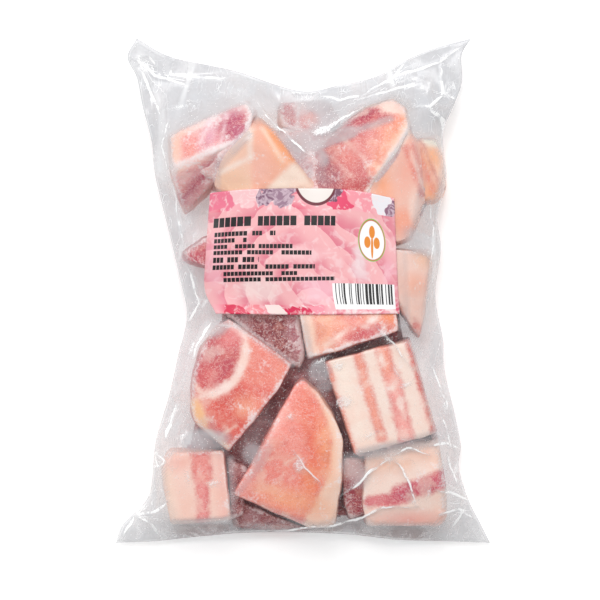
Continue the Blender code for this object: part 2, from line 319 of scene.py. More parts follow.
            ("fat", oval(42, -36, 1.6, 4, 20), (0.96, 0.84, 0.78)),
            ("fat", oval(47, -52, 3.4, 1.4, 20), (0.96, 0.84, 0.78)),
            ("fat", oval(53, -62, 1.2, 4, 15), (0.95, 0.76, 0.70)),
            ("fat", oval(44, -76, 4, 1.0, 20), (0.95, 0.78, 0.70)),
            ("fat", oval(64, -60, 1.0, 4, 15), (0.94, 0.72, 0.64)),
        ),
    ),
    "wedge": (
        ((0, -47, 38), (-4, -50, 38), (-19, -80, 42), (-37, -109, 37), (-10, -121, 36), (4, -127, 32),
         (17, -126, 32), (21, -101, 40), (21, -80, 41), (16, -66, 40), (8, -54, 38)),
        (0.95, 0.66, 0.53), 0.3, (
            ("lean", patch((0, -44), (7, -57), (13.5, -69), (15.5, -80), (14.5, -97), (9, -108), (-1, -128),
                           (-42, -113), (-38, -104), (-6, -46)), (0.90, 0.32, 0.26)),
            ("tint", oval(4, -74, 7, 22, 8), (0.86, 0.20, 0.11)),
            ("tint", oval(12, -84, 3.5, 14, 4), (0.94, 0.42, 0.20)),
            ("tint", oval(-8, -80, 8, 16, 20), (0.90, 0.34, 0.27)),
            ("tint", oval(4, -102, 5, 9), (0.93, 0.30, 0.13)),
            ("tint", oval(-6, -112, 18, 6, -15), (0.95, 0.46, 0.27)),
            ("tint", band((-33, -108), (-10, -62), 1.5), (0.95, 0.52, 0.46)),
            ("fat", band((-9, -92), (-2, -88), 0.5), CREAM),
        ),
    ),
    "bottom_left": (
        ((-75, -91, 30), (-71, -87, 30), (-43, -86, 34), (-39, -123, 34), (-71, -125, 28), (-76, -97, 29)),
        (0.96, 0.66, 0.57), 0.3, (
            ("tint", band((-74, -100), (-70, -124), 3), (0.97, 0.72, 0.60)),
            ("lean", patch((-61, -87), (-48.5, -86), (-48.5, -102), (-59, -104)), (0.86, 0.36, 0.32)),
            ("lean", band((-54.5, -106), (-53.5, -126), 3.6), (0.88, 0.38, 0.36)),
            ("tint", oval(-66, -92, 5, 4), (0.94, 0.54, 0.47)),
            ("tint", band((-45, -88), (-42, -122), 2), (0.90, 0.50, 0.44)),
        ),
    ),
    "bottom_right": (
        ((34, -85.5, 34), (72, -79, 31), (76, -102, 33), (77, -123, 27), (73, -127, 25), (35, -126, 29),
         (32, -113, 33)),
        (0.93, 0.71, 0.62), 0.35, (
            ("tint", band((40, -94), (56, -93), 2), (0.92, 0.56, 0.42)),
            ("tint", band((58, -88), (72, -90), 3), (0.90, 0.58, 0.46)),
            ("lean", band((36, -113.5), (54, -111), 3.4), (0.84, 0.30, 0.33)),
            ("lean", band((52, -109), (77, -101), 5.0), (0.62, 0.10, 0.17)),
            ("tint", oval(59, -123, 14, 3.5), (0.82, 0.38, 0.33)),
        ),
    ),
    # A low dark cut along the bottom edge: its maroon is partly frozen juice and partly painted shade low in
    # the bag
    "bottom_dark": (
        ((-38, -112, 21), (-12, -123, 21), (4, -129, 15), (-12, -130, 12), (-37, -128, 14)),
        GREY_PINK, 0.34, (("lean", everywhere, MAROON),),
    ),
    "dark": (
        ((22, -90, 26), (33, -90, 27), (37, -118, 26), (25, -123, 24), (22, -113, 26)),
        (0.78, 0.46, 0.44), 0.4, (
            ("lean", patch((18, -101), (42, -101), (42, -126), (18, -126)), (0.32, 0.02, 0.05)),
        ),
    ),
    "small_dark": (
        ((-41, -90, 22), (-30, -95, 24), (-34, -110, 24), (-32, -121, 22), (-39, -123, 22)),
        GREY_PINK, 0.4, (("lean", everywhere, MAROON),),
    ),
}
CUT_FOOT_SPREAD = 2.0
CUT_CORNER_ROUND = 1.4
CUT_CELL = 1.05
# How near another cut makes a place crowded, and how far below the top it starts to look deep, where painted
# shade darkens the cut's sides towards dark red
CROWDED = 7.0
CROWDED_BELOW = 4
DEEP_BELOW = 7
DEEP_FADE = 10
# Air between film and cuts, and how much more each cut has than the one before it, so that no faces coincide
FILM_AIR = 0.25
CUT_STAGGER = 0.04

# The film: its cells, how far it sags between cuts, and the passes that pull it tight and soften it
FILM_COLUMNS = 188
FILM_ROWS = 254
FILM_SAG_CURVE = 0.04
COARSE = 4
COARSE_PASSES = 700
FINE_PASSES = 260
FRONT_SOFTENING = 5
BACK_SOFTENING = 4
GAP_SOFTENING = 4
LABEL_STIFFENING = 120
# How far around them cuts and free film are felt, in passes of softening
FREE_FOLD_SPREAD = 30
FREE_BACK_SPREAD = 20
MARGIN_SPREAD = 150
BORDER_SPREAD = 60
CROWD_SPREAD = 220


def line_point(points, share):
    """The place at a share of the way along a smooth line that passes through the points."""
    spots = np.array(points, float)
    steps = np.linalg.norm(np.diff(spots, axis=0), axis=1)
    reached = np.concatenate(([0], np.cumsum(steps))) / steps.sum()
    stretch = min(int(np.searchsorted(reached, share, side="right")) - 1, len(spots) - 2)
    t = (share - reached[stretch]) / (reached[stretch + 1] - reached[stretch])
    start, end = spots[stretch], spots[stretch + 1]
    before = spots[stretch - 1] if stretch else 2 * start - end
    after = spots[stretch + 2] if stretch + 2 < len(spots) else 2 * end - start
    bend = 2 * before - 5 * start + 4 * end - after
    twist = 3 * (start - end) + after - before
    return start + 0.5 * t * ((end - before) + t * (bend + t * twist))


def sheet_places(left, right, bottom, top, columns, rows):
    """Places of a sheet's grid points between its four edges, seen from above."""
    u = np.linspace(0, 1, columns + 1)[:, None, None]
    v = np.linspace(0, 1, rows + 1)[None, :, None]
    lefts = np.array([[line_point(left, share) for share in v.flat]])
    rights = np.array([[line_point(right, share) for share in v.flat]])
    bottoms = np.array([[line_point(bottom, share)] for share in u.flat])
    tops = np.array([[line_point(top, share)] for share in u.flat])
    across = (1 - u) * lefts + u * rights
    along = (1 - v) * bottoms + v * tops
    low = (1 - u) * bottoms[0] + u * bottoms[-1]
    high = (1 - u) * tops[0] + u * tops[-1]
    return across + along - (1 - v) * low - v * high


def edge_heights(columns, rows):
    """Height of the bag's flat edge: lowest at the bottom corners, highest at the top ones, and wavy."""
    u = np.linspace(0, 1, columns + 1)[:, None]
    v = np.linspace(0, 1, rows + 1)[None, :]
    ends = BOTTOM_CORNER_HEIGHT + v * (TOP_CORNER_HEIGHT - BOTTOM_CORNER_HEIGHT)
    dip = (TOP_EDGE_DIP * v - BOTTOM_EDGE_RISE * (1 - v)) * np.sin(math.pi * u)
    side_wave = np.sin(2 * math.pi * SIDE_WAVES * v) * np.sin(math.pi * v) * (2 * u - 1)
    end_wave = np.sin(2 * math.pi * END_WAVES * u) * np.sin(math.pi * u) * (2 * v - 1)
    return ends - dip + EDGE_WAVE_HEIGHT * (side_wave + end_wave)


def cut_block(corners):
    """One frozen cut in the rough, from its upper corners down to a wider foot, with rounded edges."""
    middle = sum((Vector(corner) for corner in corners), Vector()) / len(corners)
    block = bmesh.new()
    for corner in corners:
        top = block.verts.new(corner)
        outward = (top.co - middle).xy.normalized() * CUT_FOOT_SPREAD
        block.verts.new((top.co.x + outward.x, top.co.y + outward.y, 0))
    hull = bmesh.ops.convex_hull(block, input=block.verts)
    spare = [part for part in hull["geom_interior"] if isinstance(part, bmesh.types.BMVert)]
    bmesh.ops.delete(block, geom=spare, context="VERTS")
    bmesh.ops.bevel(
        block, geom=block.edges[:], offset=CUT_CORNER_ROUND, offset_type="OFFSET", affect="EDGES",
        segments=2, profile=0.5, clamp_overlap=True, material=-1,
    )
    bmesh.ops.recalc_face_normals(block, faces=block.faces)
    return block


def heights_over(tree, places):
    """Heights of a surface under the places, and minus one where it has none."""
    flat = places.reshape(-1, 2)
    found = np.full(len(flat), -1.0)
    for count, (x, y) in enumerate(flat):
        hit = tree.ray_cast(Vector((x, y, OVER_THE_BAG)), DOWN)[0]
        if hit:
            found[count] = hit.z
    return found.reshape(places.shape[:-1])


def meat_heights(places, blocks):
    """How high the cuts reach under each grid point of the film, and minus one where there is none."""
    heights = np.full(places.shape[:-1], -1.0)
    for block in blocks.values():
        corners = np.array([point.co for point in block.verts])
        near = ((places > corners.min(0)[:2]) & (places < corners.max(0)[:2])).all(axis=-1)
        found = heights_over(BVHTree.FromBMesh(block), places[near][:, None])[:, 0]
        heights[near] = np.maximum(heights[near], found)
    return heights


def neighbours(heights):
    """The mean height of the four points around each inner point."""
    return (heights[:-2, 1:-1] + heights[2:, 1:-1] + heights[1:-1, :-2] + heights[1:-1, 2:]) / 4


def softened(values, passes, share=1.0):
    """Values with each inner one moved towards the mean of those around it."""
    values = values.copy()
    for _ in range(passes):
        values[1:-1, 1:-1] += share * (neighbours(values) - values[1:-1, 1:-1])
    return values


def resized(values, columns, rows):
    """A grid of values read at other spacing."""
    u = np.linspace(0, values.shape[0] - 1, columns + 1)
    v = np.linspace(0, values.shape[1] - 1, rows + 1)
    i, j = np.minimum(u.astype(int), values.shape[0] - 2), np.minimum(v.astype(int), values.shape[1] - 2)
    s, t = (u - i)[:, None], (v - j)[None, :]
    low = values[np.ix_(i, j)] * (1 - s) + values[np.ix_(i + 1, j)] * s
    high = values[np.ix_(i, j + 1)] * (1 - s) + values[np.ix_(i + 1, j + 1)] * s
    return low * (1 - t) + high * t


def label_hold(places):
    """How far the stiff label holds the film at each grid point: one under it, none outside it."""
    low = np.array((LABEL_LEFT_EDGE[1][0], LABEL_BOTTOM_EDGE[0][1]))
    high = np.array((LABEL_RIGHT_EDGE[0][0], LABEL_TOP_EDGE[1][1]))
    outside = np.maximum(np.maximum(low - places, places - high), 0).max(axis=-1)
    return np.clip(1 - outside / LABEL_HOLD, 0, 1)


def pulled_tight(front, back, meat, cell, passes):
    """The two films relaxed: the front rests on the cuts and sags between them, the back lies under them."""
    sag = FILM_SAG_CURVE * cell ** 2 / 4
    for _ in range(passes):
        front[1:-1, 1:-1] = np.maximum(neighbours(front) - sag, meat[1:-1, 1:-1])
        back[1:-1, 1:-1] = np.where(meat[1:-1, 1:-1] > 0, 0, neighbours(back))
    return front, back


def soft_noise(places, size, seed):
    """Smooth uneven values from minus one to one, that change over about this many millimetres."""
    draw = np.random.default_rng(seed).uniform(-1, 1, (400, 400))
    spot = places / size + 100
    whole = np.floor(spot).astype(int)
    part = spot - whole
    part = eased(part)
    i, j = whole[..., 0] % 399, whole[..., 1] % 399
    s, t = part[..., 0], part[..., 1]
    low = draw[i, j] * (1 - s) + draw[i + 1, j] * s
    high = draw[i, j + 1] * (1 - s) + draw[i + 1, j + 1] * s
    return low * (1 - t) + high * t


# Folds that stand out in the front film: points along each, its height and its half width
FOLDS = (
    (((-54, -2), (-58, -9), (-62.6, -16.5)), 0.7, 1.2), (((-49, -16), (-56, -27), (-60.5, -37.5)), 0.7, 2.2),
    (((-67.5, -58), (-70, -66), (-75, -80)), 1.0, 2.4),
    (((-80, -87), (-74, -92), (-79, -95), (-80, -87)), 0.5, 1.0),
    (((-91, -122), (-98, -133)), 0.9, 1.4), (((-91, -122), (-82, -126), (-77, -134)), 0.8, 1.4),
    (((-91, -122), (-80, -119), (-73, -113)), 0.8, 1.4), (((-91, -122), (-86, -112)), 0.8, 1.2),
    (((47.5, -88), (41.6, -92.6), (31, -102), (20, -110)), 0.7, 1.3),
    (((47.5, -88), (53, -94), (58, -103), (61, -115)), 0.6, 1.2),
    (((47.5, -88), (57, -84), (68, -88)), 0.5, 1.0),
    (((-20, -131), (18, -125.6), (32.4, -121.8), (43, -115.8), (62, -115.8)), 0.7, 1.3),
    (((-5, -85.6), (2, -95), (9.7, -104)), 0.4, 1.0), (((-27, 106), (-17, 92), (-6, 82), (8, 70)), 0.45, 4.5),
    (((-88, 120), (-82, 107), (-77, 95)), 0.9, 1.8), (((-95, 129), (-80, 117), (-62, 112)), 0.8, 1.8),
    (((-70, 126), (-72, 118), (-54, 116), (-40, 116)), 0.7, 1.5),
    (((-93, 126), (-84, 128), (-80, 122)), 0.7, 1.6),
    (((30, 104), (38, 110), (52, 117), (73, 124), (88, 134)), 0.6, 1.0),
    (((30, 104), (46, 108), (60, 113)), 0.6, 1.0), (((46, 112), (56, 124)), 0.7, 1.2),
    (((8, 106), (20, 104), (34, 107)), 0.6, 1.2), (((12, 86), (22, 94), (32, 99)), 0.6, 1.2),
    (((60, 100), (68, 100), (76, 106)), 0.8, 1.2), (((68, 99), (76, 92), (78, 84)), 0.8, 1.4),
    (((74, 122), (76, 108), (84, 104)), 0.7, 1.4), (((72, 100), (76, 86), (80, 68)), 0.6, 1.0),
    (((39, -18), (50, -30), (59, -42)), 0.4, 0.9), (((68, -83), (77, -82), (85, -86)), 0.7, 1.2),
    (((72, -107), (80, -108), (92, -115)), 0.7, 1.2), (((78, -88), (80, -96), (84, -104)), 0.6, 1.2),
    (((74, -120), (84, -118), (94, -124)), 0.7, 1.2), (((80, -128), (88, -118)), 0.6, 1.2),
    (((70, -40), (75, -52), (79, -66)), 0.6, 1.2), (((74, -66), (78, -74), (80, -84)), 0.6, 1.2),
    (((-72, 95), (-76, 78), (-72, 60)), 0.35, 2.2), (((-70, 60), (-68, 40), (-64, 22)), 0.35, 1.8),
    (((-62, 12), (-58, 0), (-54, -12)), 0.6, 1.2), (((68, 50), (71, 30), (68, 10)), 0.35, 1.8),
)
FOLD_RELIEF = 0.8
FOLD_FOOT = 1.6
# Broad flat facets: families of parallel crests, each turned and spaced another way
FACET_FAMILIES = 5
FACET_TURN = 2.4
FACET_SPACING = 26
FACET_SPACING_STEP = 7.0

# Places where frost and slack make the front film milky: shape, how far it fades, and its haze
FOG = (
    (band((4, 78), (26, 86), 2), 3.5, 0.50), (band((26, 86), (47, 93), 0.6), 3.0, 0.44),
    (band((-15, 104), (9, 71), 3), 4.5, 0.45), (band((-73, 87), (-31, 105), 1), 5.0, 0.42),
    (band((-75, 86), (-72, 50), 1), 5.0, 0.35), (band((6, 78), (11, 60), 1), 4.0, 0.30),
    (oval(5, 98, 18, 10), 8.0, 0.48), (band((62, 90), (72, 84), 2), 6.0, 0.35),
    (band((78, 70), (73, 44), 1), 5.0, 0.30), (band((-66, 36), (-60, 30), 3), 6.0, 0.30),
    (band((70, 30), (72, 0), 2), 5.0, 0.30), (band((-46, -10), (-34, -10), 2), 6.0, 0.25),
    (band((26, -92), (30, -100), 3), 6.0, 0.28), (band((32, -87), (74, -79), 1.5), 4.0, 0.46),
    (band((-60, -84), (-44, -84), 1), 5.0, 0.25), (band((-70, -129), (0, -131), 3), 4.0, 0.28),
    (band((0, -131), (78, -130), 3), 4.0, 0.28), (band((6, -44), (12, -50), 2), 4.0, 0.30),
    (band((-52, -72), (-44, -84), 2), 6.0, 0.22), (band((-24, -94), (-19, -84), 1), 4.0, 0.25),
    (band((-30, 84), (-47, 66), 1), 4.0, 0.40), (oval(62, 27, 9, 4, -20), 5.0, 0.62),
    (band((52.5, 24), (54.5, -18), 1), 4.0, 0.45), (band((-53, 50), (-58, 34), 2), 5.0, 0.42),
    (band((-8, 82), (12, 58), 1), 4.0, 0.42), (band((67, 44), (73, 36), 2), 5.0, 0.45),
    (oval(16, 92, 8, 4, 40), 5.0, 0.55), (oval(-53, -80, 9, 4), 5.0, 0.55),
    (oval(-27, -87, 4, 4, -40), 4.0, 0.36),
    (band((-2, -2), (4, -34), 0.5), 3.0, 0.30), (band((-38, -16), (-6, -39), 0.5), 3.0, 0.26),
    (oval(-47, -18, 5, 4, 30), 5.0, 0.45), (band((-38.5, -90), (-37, -122), 0.5), 3.0, 0.25),
    (oval(9, -43, 4, 4), 4.0, 0.42), (band((-24, -94), (-38, -112), 0.5), 3.0, 0.20),
    (band((-47, 66), (-46, 50), 1), 3.0, 0.40), (band((57, 87), (33, 49), 0.5), 3.0, 0.30),
    (band((65, 64), (60, 31), 0.8), 3.0, 0.32), (band((60, 80), (64, 52), 0.5), 2.5, 0.24),
    (band((-75, -126), (-41, -124), 1), 4.0, 0.34), (band((-39, -90), (-38, -122), 0.5), 3.0, 0.30),
    (band((73, -77), (58, -25), 0.5), 3.0, 0.24), (band((28, -89), (72, -77), 0.8), 3.5, 0.34),
    (band((14, 108), (54, 116), 6), 10.0, 0.50), (band((-40, 114), (4, 106), 3), 8.0, 0.46),
)
# Places where it is clearer than around: shape, how far it fades, and the share of haze that is gone
CLEAR = (
    (patch((-70, 64), (-50, 74), (-49, 56), (-64, 42)), 4.0, 0.70), (oval(34, 96, 8, 3.6, 22), 3.0, 0.75),
    (oval(-5, 95, 8, 7), 5.0, 0.40), (band((4, 70), (13, 54), 2), 6.0, 0.50), (oval(50, 100, 6, 4), 3.0, 0.6),
    (patch((60, 84), (74, 84), (78, 52), (68, 50)), 3.0, 0.5),
)

# Small bright patches where the film over the cuts catches the light: middle, half sizes and turn
GLINTS = (
    (43, -22, 3, 2.2, -30), (46, -26, 1.5, 3, 40), (55, -50, 4, 1.6, 20), (50, -43, 1.2, 5, 25),
    (22, -59, 5, 3.5, 10), (19, -40, 3, 2.5, 0), (36, -77, 5, 1.2, 25), (-7, -67, 2.5, 1.8, 10),
    (-2, -93, 3.5, 4, -20),
    (-48, -103, 4, 2.2, 10), (-62, -100, 1.4, 4, 10), (-70, -66, 1.6, 6, -30), (-65, -78, 3, 1.4, 30),
    (46, -90, 3, 2, 0), (60, -113, 2.4, 1.2, 0), (68, -108, 1.5, 4, -20), (-30, 90, 1.2, 3.5, -20),
    (10, -37, 5, 1.5, 25), (10, 87, 6, 2.5, 20), (16, 90, 7, 1.6, 35), (-66, 100, 6, 1.2, 12),
    (-86, 122, 3, 4, 30), (78, 108, 1.2, 5, -35), (-80, -88, 2.4, 2, 40), (-88, -118, 4, 1.6, 40),
    (-76, -108, 1.2, 4, 20),
    (83, -96, 1.6, 4, -20), (77, -62, 1.2, 4, 15),
    (-60, -30, 1.5, 6, -25), (-53, -6, 1.4, 5, -25), (76, 32, 1.2, 5, 0), (80, 84, 1.2, 5, -15),
    (-88, 100, 1.4, 6, 20),
)
FOLD_REACH = 7.0


def fold_marks(places):
    """Signed distance of each grid point to the nearest fold, in millimetres, and how strong that fold is."""
    x, y = places[..., 0] + 0.7 * soft_noise(places, 5, 3), places[..., 1] + 0.7 * soft_noise(places, 5, 4)
    nearest = np.full_like(x, FOLD_REACH)
    strength = np.zeros_like(x)
    for points, height, _ in FOLDS:
        length = sum(math.dist(start, end) for start, end in zip(points, points[1:]))
        done = 0.0
        for start, end in zip(points, points[1:]):
            run = np.subtract(end, start)
            size = math.hypot(*run)
            share = np.clip(((x - start[0]) * run[0] + (y - start[1]) * run[1]) / size ** 2, 0, 1)
            across = np.hypot(x - start[0] - share * run[0], y - start[1] - share * run[1])
            side = np.sign((x - start[0]) * run[1] - (y - start[1]) * run[0])
            taken = across < np.abs(nearest)
            nearest = np.where(taken, across * np.where(side == 0, 1, side), nearest)
            place = (done + share * size) / length
            strength = np.where(taken, height * (1 - np.abs(2 * place - 1) ** 3), strength)
            done += size
    return nearest, strength * (1 - label_hold(places))


def folds(places, meat):
    """How far folds and flat facets lift the front film: much where it hangs free, slightly over the cuts."""
    lift = np.zeros(places.shape[:-1])
    x, y = places[..., 0], places[..., 1]
    free = softened((meat < 0).astype(float), FREE_FOLD_SPREAD)
    warp = soft_noise(places, 40, 5) * 0.3
    for family in range(FACET_FAMILIES):
        turn = family * FACET_TURN + 0.4
        spacing = FACET_SPACING + FACET_SPACING_STEP * (family % 3)
        run = (x * math.cos(turn) + y * math.sin(turn)) / spacing + warp + 0.37 * family
        crest = 1 - np.abs(run % 1 - 0.5) * 2
        where = np.clip(soft_noise(places, 30, 40 + family) * 1.6 + 0.2, 0, 1)
        lift += (0.06 + 1.5 * free) * where * crest ** 1.5
    lift += (0.04 + 0.10 * free) * soft_noise(places, 4.5, 77)
    for points, height, half_width in FOLDS:
        reach = np.full_like(x, -np.inf)
        for start, end in zip(points, points[1:]):
            reach = np.maximum(reach, band(start, end, half_width * FOLD_FOOT)(x, y))
        lift += FOLD_RELIEF * height * np.clip(reach / (half_width * FOLD_FOOT), 0, 1) ** 1.6
    lift *= 1 - 0.92 * label_hold(places)
    return lift


def film_sheets(blocks):
    """Places, front and back heights of the film, and how deep the cuts lie under it."""
    columns, rows = FILM_COLUMNS // COARSE, FILM_ROWS // COARSE
    places = sheet_places(LEFT_EDGE, RIGHT_EDGE, BOTTOM_EDGE, TOP_EDGE, columns, rows)
    cell = np.linalg.norm(places[columns // 2, rows // 2] - places[columns // 2 + 1, rows // 2])
    edge = edge_heights(columns, rows)
    front, back = pulled_tight(edge.copy(), edge.copy(), meat_heights(places, blocks), cell, COARSE_PASSES)

    columns, rows = FILM_COLUMNS, FILM_ROWS
    places = sheet_places(LEFT_EDGE, RIGHT_EDGE, BOTTOM_EDGE, TOP_EDGE, columns, rows)
    meat = meat_heights(places, blocks)
    edge = edge_heights(columns, rows)
    front, back = resized(front, columns, rows), resized(back, columns, rows)
    for sheet, offset in ((front, EDGE_THICKNESS / 2), (back, -EDGE_THICKNESS / 2)):
        for rim in (np.s_[0, :], np.s_[-1, :], np.s_[:, 0], np.s_[:, -1]):
            sheet[rim] = edge[rim] + offset
    front, back = pulled_tight(front, back, meat, cell / COARSE, FINE_PASSES)
    front = softened(front, FRONT_SOFTENING)
    hold = label_hold(places)
    stiff = softened(front, LABEL_STIFFENING)
    front += hold * (stiff - front)
    fade = np.ones_like(front)
    fade[0, :] = fade[-1, :] = fade[:, 0] = fade[:, -1] = 0
    front = front + fade * folds(places, meat)
    free = softened((meat < 0).astype(float), FREE_BACK_SPREAD)
    back = back + fade * free * (0.6 * soft_noise(places, 7, 9) + 0.8 * soft_noise(places, 15, 10))
    back = np.maximum(softened(back, BACK_SOFTENING), 0)
    return places, np.maximum(front, back + EDGE_THICKNESS), back, meat


# How softly painted fat and everything else end, and the depth of places without lean, in millimetres
FAT_FADE = 3
TINT_FADE = 7
NO_LEAN = -6.0


def painted(cut, x, y):
    """How deep in the lean each point lies, in millimetres, and its lean and fat colours."""
    _, fat, _, paint = cut
    depth = np.full_like(x, NO_LEAN)
    lean_colour = np.tile(np.array(RED), (len(x), 1))
    fat_colour = np.tile(np.array(fat), (len(x), 1))
    for kind, shape, colour in paint:
        inside = shape(x, y)
        fade = FAT_FADE if kind == "fat" else TINT_FADE
        share = np.clip(inside / fade + 0.5, 0, 1)[:, None]
        if kind != "fat":
            lean_colour += share * (np.array(colour) - lean_colour)
        if kind != "lean":
            fat_colour += share * (np.array(colour) - fat_colour)
        if kind == "lean":
            depth = np.maximum(depth, inside)
        if kind == "fat":
            depth = np.minimum(depth, -inside)
    return depth, lean_colour, fat_colour


def give(mesh, name, values):
    """Stores a value or a colour on every point of a mesh."""
    values = np.asarray(values, np.float32)
    if values.ndim == 1:
        mesh.attributes.new(name, "FLOAT", "POINT").data.foreach_set("value", values)
        return
    colour = np.ones((len(values), 4), np.float32)
    colour[:, :3] = values
    mesh.attributes.new(name, "FLOAT_COLOR", "POINT").data.foreach_set("color", colour.ravel())


def read_points(mesh, what="co"):
    values = np.empty(len(mesh.vertices) * 3, np.float32)
    mesh.vertices.foreach_get(what, values)
    return values.reshape(-1, 3).astype(float)


def set_points(mesh, values):
    mesh.vertices.foreach_set("co", np.ascontiguousarray(values, np.float32).ravel())
    mesh.update()


def shown(name, data, material=None):
    """A new object in the scene for a mesh, a lamp or a camera."""
    if material:
        data.materials.append(material)
    piece = bpy.data.objects.new(name, data)
    bpy.context.scene.collection.objects.link(piece)
    return piece


def shown_for_bag(name, mesh, material):
    """A piece of film or frozen pork that is shown in place of the bag's solid."""
    piece = shown(name, mesh, material)
    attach(piece, "root")
    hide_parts("bag")
    return piece


def fine_mesh(name, block, cell):
    """The rough block as an even mesh of small cells."""
    rough = bpy.data.meshes.new(name + "_rough")
    block.to_mesh(rough)
    holder = shown(name + "_rough", rough)
    remesh = holder.modifiers.new("even", "REMESH")
    remesh.mode = "VOXEL"
    remesh.voxel_size = cell
    smooth = holder.modifiers.new("soft", "SMOOTH")
    smooth.factor = 0.5
    smooth.iterations = 2
    graph = bpy.context.evaluated_depsgraph_get()
    mesh = bpy.data.meshes.new_from_object(holder.evaluated_get(graph))
    mesh.name = name
    bpy.data.objects.remove(holder)
    bpy.data.meshes.remove(rough)
    return mesh


def edge_sharpness(mesh, points):
    """How far each point stands proud of those around it, for the frost that gathers on edges."""
    ends = np.empty(len(mesh.edges) * 2, np.int32)
    mesh.edges.foreach_get("vertices", ends)
    a, b = ends[::2], ends[1::2]
    normals = read_points(mesh, "normal")
    count = np.bincount(a, minlength=len(points)) + np.bincount(b, minlength=len(points))
    proud = np.zeros(len(points))
    np.add.at(proud, a, ((points[a] - points[b]) * normals[a]).sum(1))
    np.add.at(proud, b, ((points[b] - points[a]) * normals[b]).sum(1))
    proud /= count
    for _ in range(3):
        total = np.bincount(a, proud[b], len(points)) + np.bincount(b, proud[a], len(points))
        proud = 0.5 * proud + 0.5 * total / count
    return np.clip(proud / 0.12, 0, 1)


def uneven_waves(points, shift):
    """How far a cut's surface stands out or in at each point: broad waves with smaller ones on them."""
    return np.array([
        0.7 * noise.noise(Vector(p) / 15 + Vector((shift, 0, 0)))
        + 0.35 * noise.noise(Vector(p) / 4.5 + Vector((0, shift, 0)))
        + 0.16 * noise.noise(Vector(p) / 1.6)
        for p in points
    ])


def crowding(name, points, height, blocks):
    """How closely the other cuts stand around each lower point of a cut, from none to one."""
    others = bmesh.new()
    for other, block in blocks.items():
        if other != name:
            part = bpy.data.meshes.new("part")
            block.to_mesh(part)
            others.from_mesh(part)
            bpy.data.meshes.remove(part)
    tree = BVHTree.FromBMesh(others)
    others.free()
    crowd = np.zeros(len(points))
    for count, point in enumerate(points):
        if point[2] < height - CROWDED_BELOW:
            near = tree.find_nearest(Vector(point), CROWDED)
            if near[0] is not None:
                crowd[count] = 1 - near[3] / CROWDED
    return crowd


def frozen_cut(name, cut, blocks, film_tree, material):
    """One frozen cut: an uneven, slightly rounded block, pressed against the film where it touches it."""
    corners, _, frost, _ = cut
    mesh = fine_mesh(name, blocks[name], CUT_CELL)
    points, normals = read_points(mesh), read_points(mesh, "normal")
    sharp = edge_sharpness(mesh, points)
    order = list(CUTS).index(name)
    air = FILM_AIR + CUT_STAGGER * order
    points += normals * uneven_waves(points, 50.0 * (1 + order))[:, None]
    top = heights_over(film_tree, points[:, None, :2])[:, 0]
    pressed = (top > 0) & (points[:, 2] > top - air)
    points[pressed, 2] = top[pressed] - air
    points[:, 2] = np.maximum(points[:, 2], air)

    height = np.array([corner[2] for corner in corners]).mean()
    crowd = crowding(name, points, height, blocks)
    sunk = np.clip((height - DEEP_BELOW - points[:, 2]) / DEEP_FADE, 0, 1)
    lower_half = np.clip((8 - points[:, 1]) / 16, 0.08, 1)
    depth, lean_colour, fat_colour = painted(cut, points[:, 0], points[:, 1])
    give(mesh, "lean", depth)
    give(mesh, "lean_colour", lean_colour)
    give(mesh, "fat_colour", fat_colour)
    give(mesh, "frost", 0.6 * frost + 1.5 * frost * sharp * (1 - 0.6 * sunk) + 0.2 * crowd)
    # Painted shade, partly the dark lean of their sides: low places of cuts crowded by others darken to dark
    # red, in the bag's lower half only
    give(mesh, "deep", np.clip(1.6 * crowd, 0, 1) * sunk * lower_half)
    set_points(mesh, points * MM)
    mesh.shade_smooth()
    return shown_for_bag("cut_" + name, mesh, material)


def slab_mesh(name, places, front, back):
    """A closed sheet between front and back heights, with the grid spot and side of each of its points."""
    columns, rows = places.shape[0] - 1, places.shape[1] - 1
    slab = bmesh.new()
    bmesh.ops.create_grid(slab, x_segments=columns, y_segments=rows, size=0.5)
    bmesh.ops.scale(slab, verts=slab.verts, vec=(columns, rows, 1))
    bmesh.ops.translate(slab, verts=slab.verts, vec=(columns / 2, rows / 2, 0))
    bmesh.ops.solidify(slab, geom=slab.faces[:], thickness=1)
    bmesh.ops.recalc_face_normals(slab, faces=slab.faces)
    mesh = bpy.data.meshes.new(name)
    slab.to_mesh(mesh)
    slab.free()
    counted = read_points(mesh)
    i, j = np.rint(counted[:, 0]).astype(int), np.rint(counted[:, 1]).astype(int)
    is_front = counted[:, 2] > counted[:, 2].mean()
    points = np.empty_like(counted)
    points[:, :2] = places[i, j]
    points[:, 2] = np.where(is_front, front[i, j], back[i, j])
    set_points(mesh, points * MM)
    mesh.shade_smooth()
    return mesh, i, j, is_front


# How milky the film is on the cuts, where it hangs free, round the cuts and on the back, and how much more
# towards the bag's margins, its upper part and the seam along its bottom edge
TOUCHING_HAZE = 0.04
TOUCHING_HAZE_UPPER = 0.03
OPEN_HAZE = 0.05
OPEN_HAZE_MARGIN = 0.33
OPEN_HAZE_UPPER = 0.30
BORDER_HAZE = 0.05
BORDER_HAZE_UPPER = 0.25
BACK_HAZE = 0.09
BACK_HAZE_MARGIN = 0.20
BACK_HAZE_SEAM = 0.55
# The gap under film that has no cut below it, and the gap from which film counts as free
OPEN_GAP = 12.0
FREE_GAP = 9
FREE_GAP_LESS_UPPER = 4


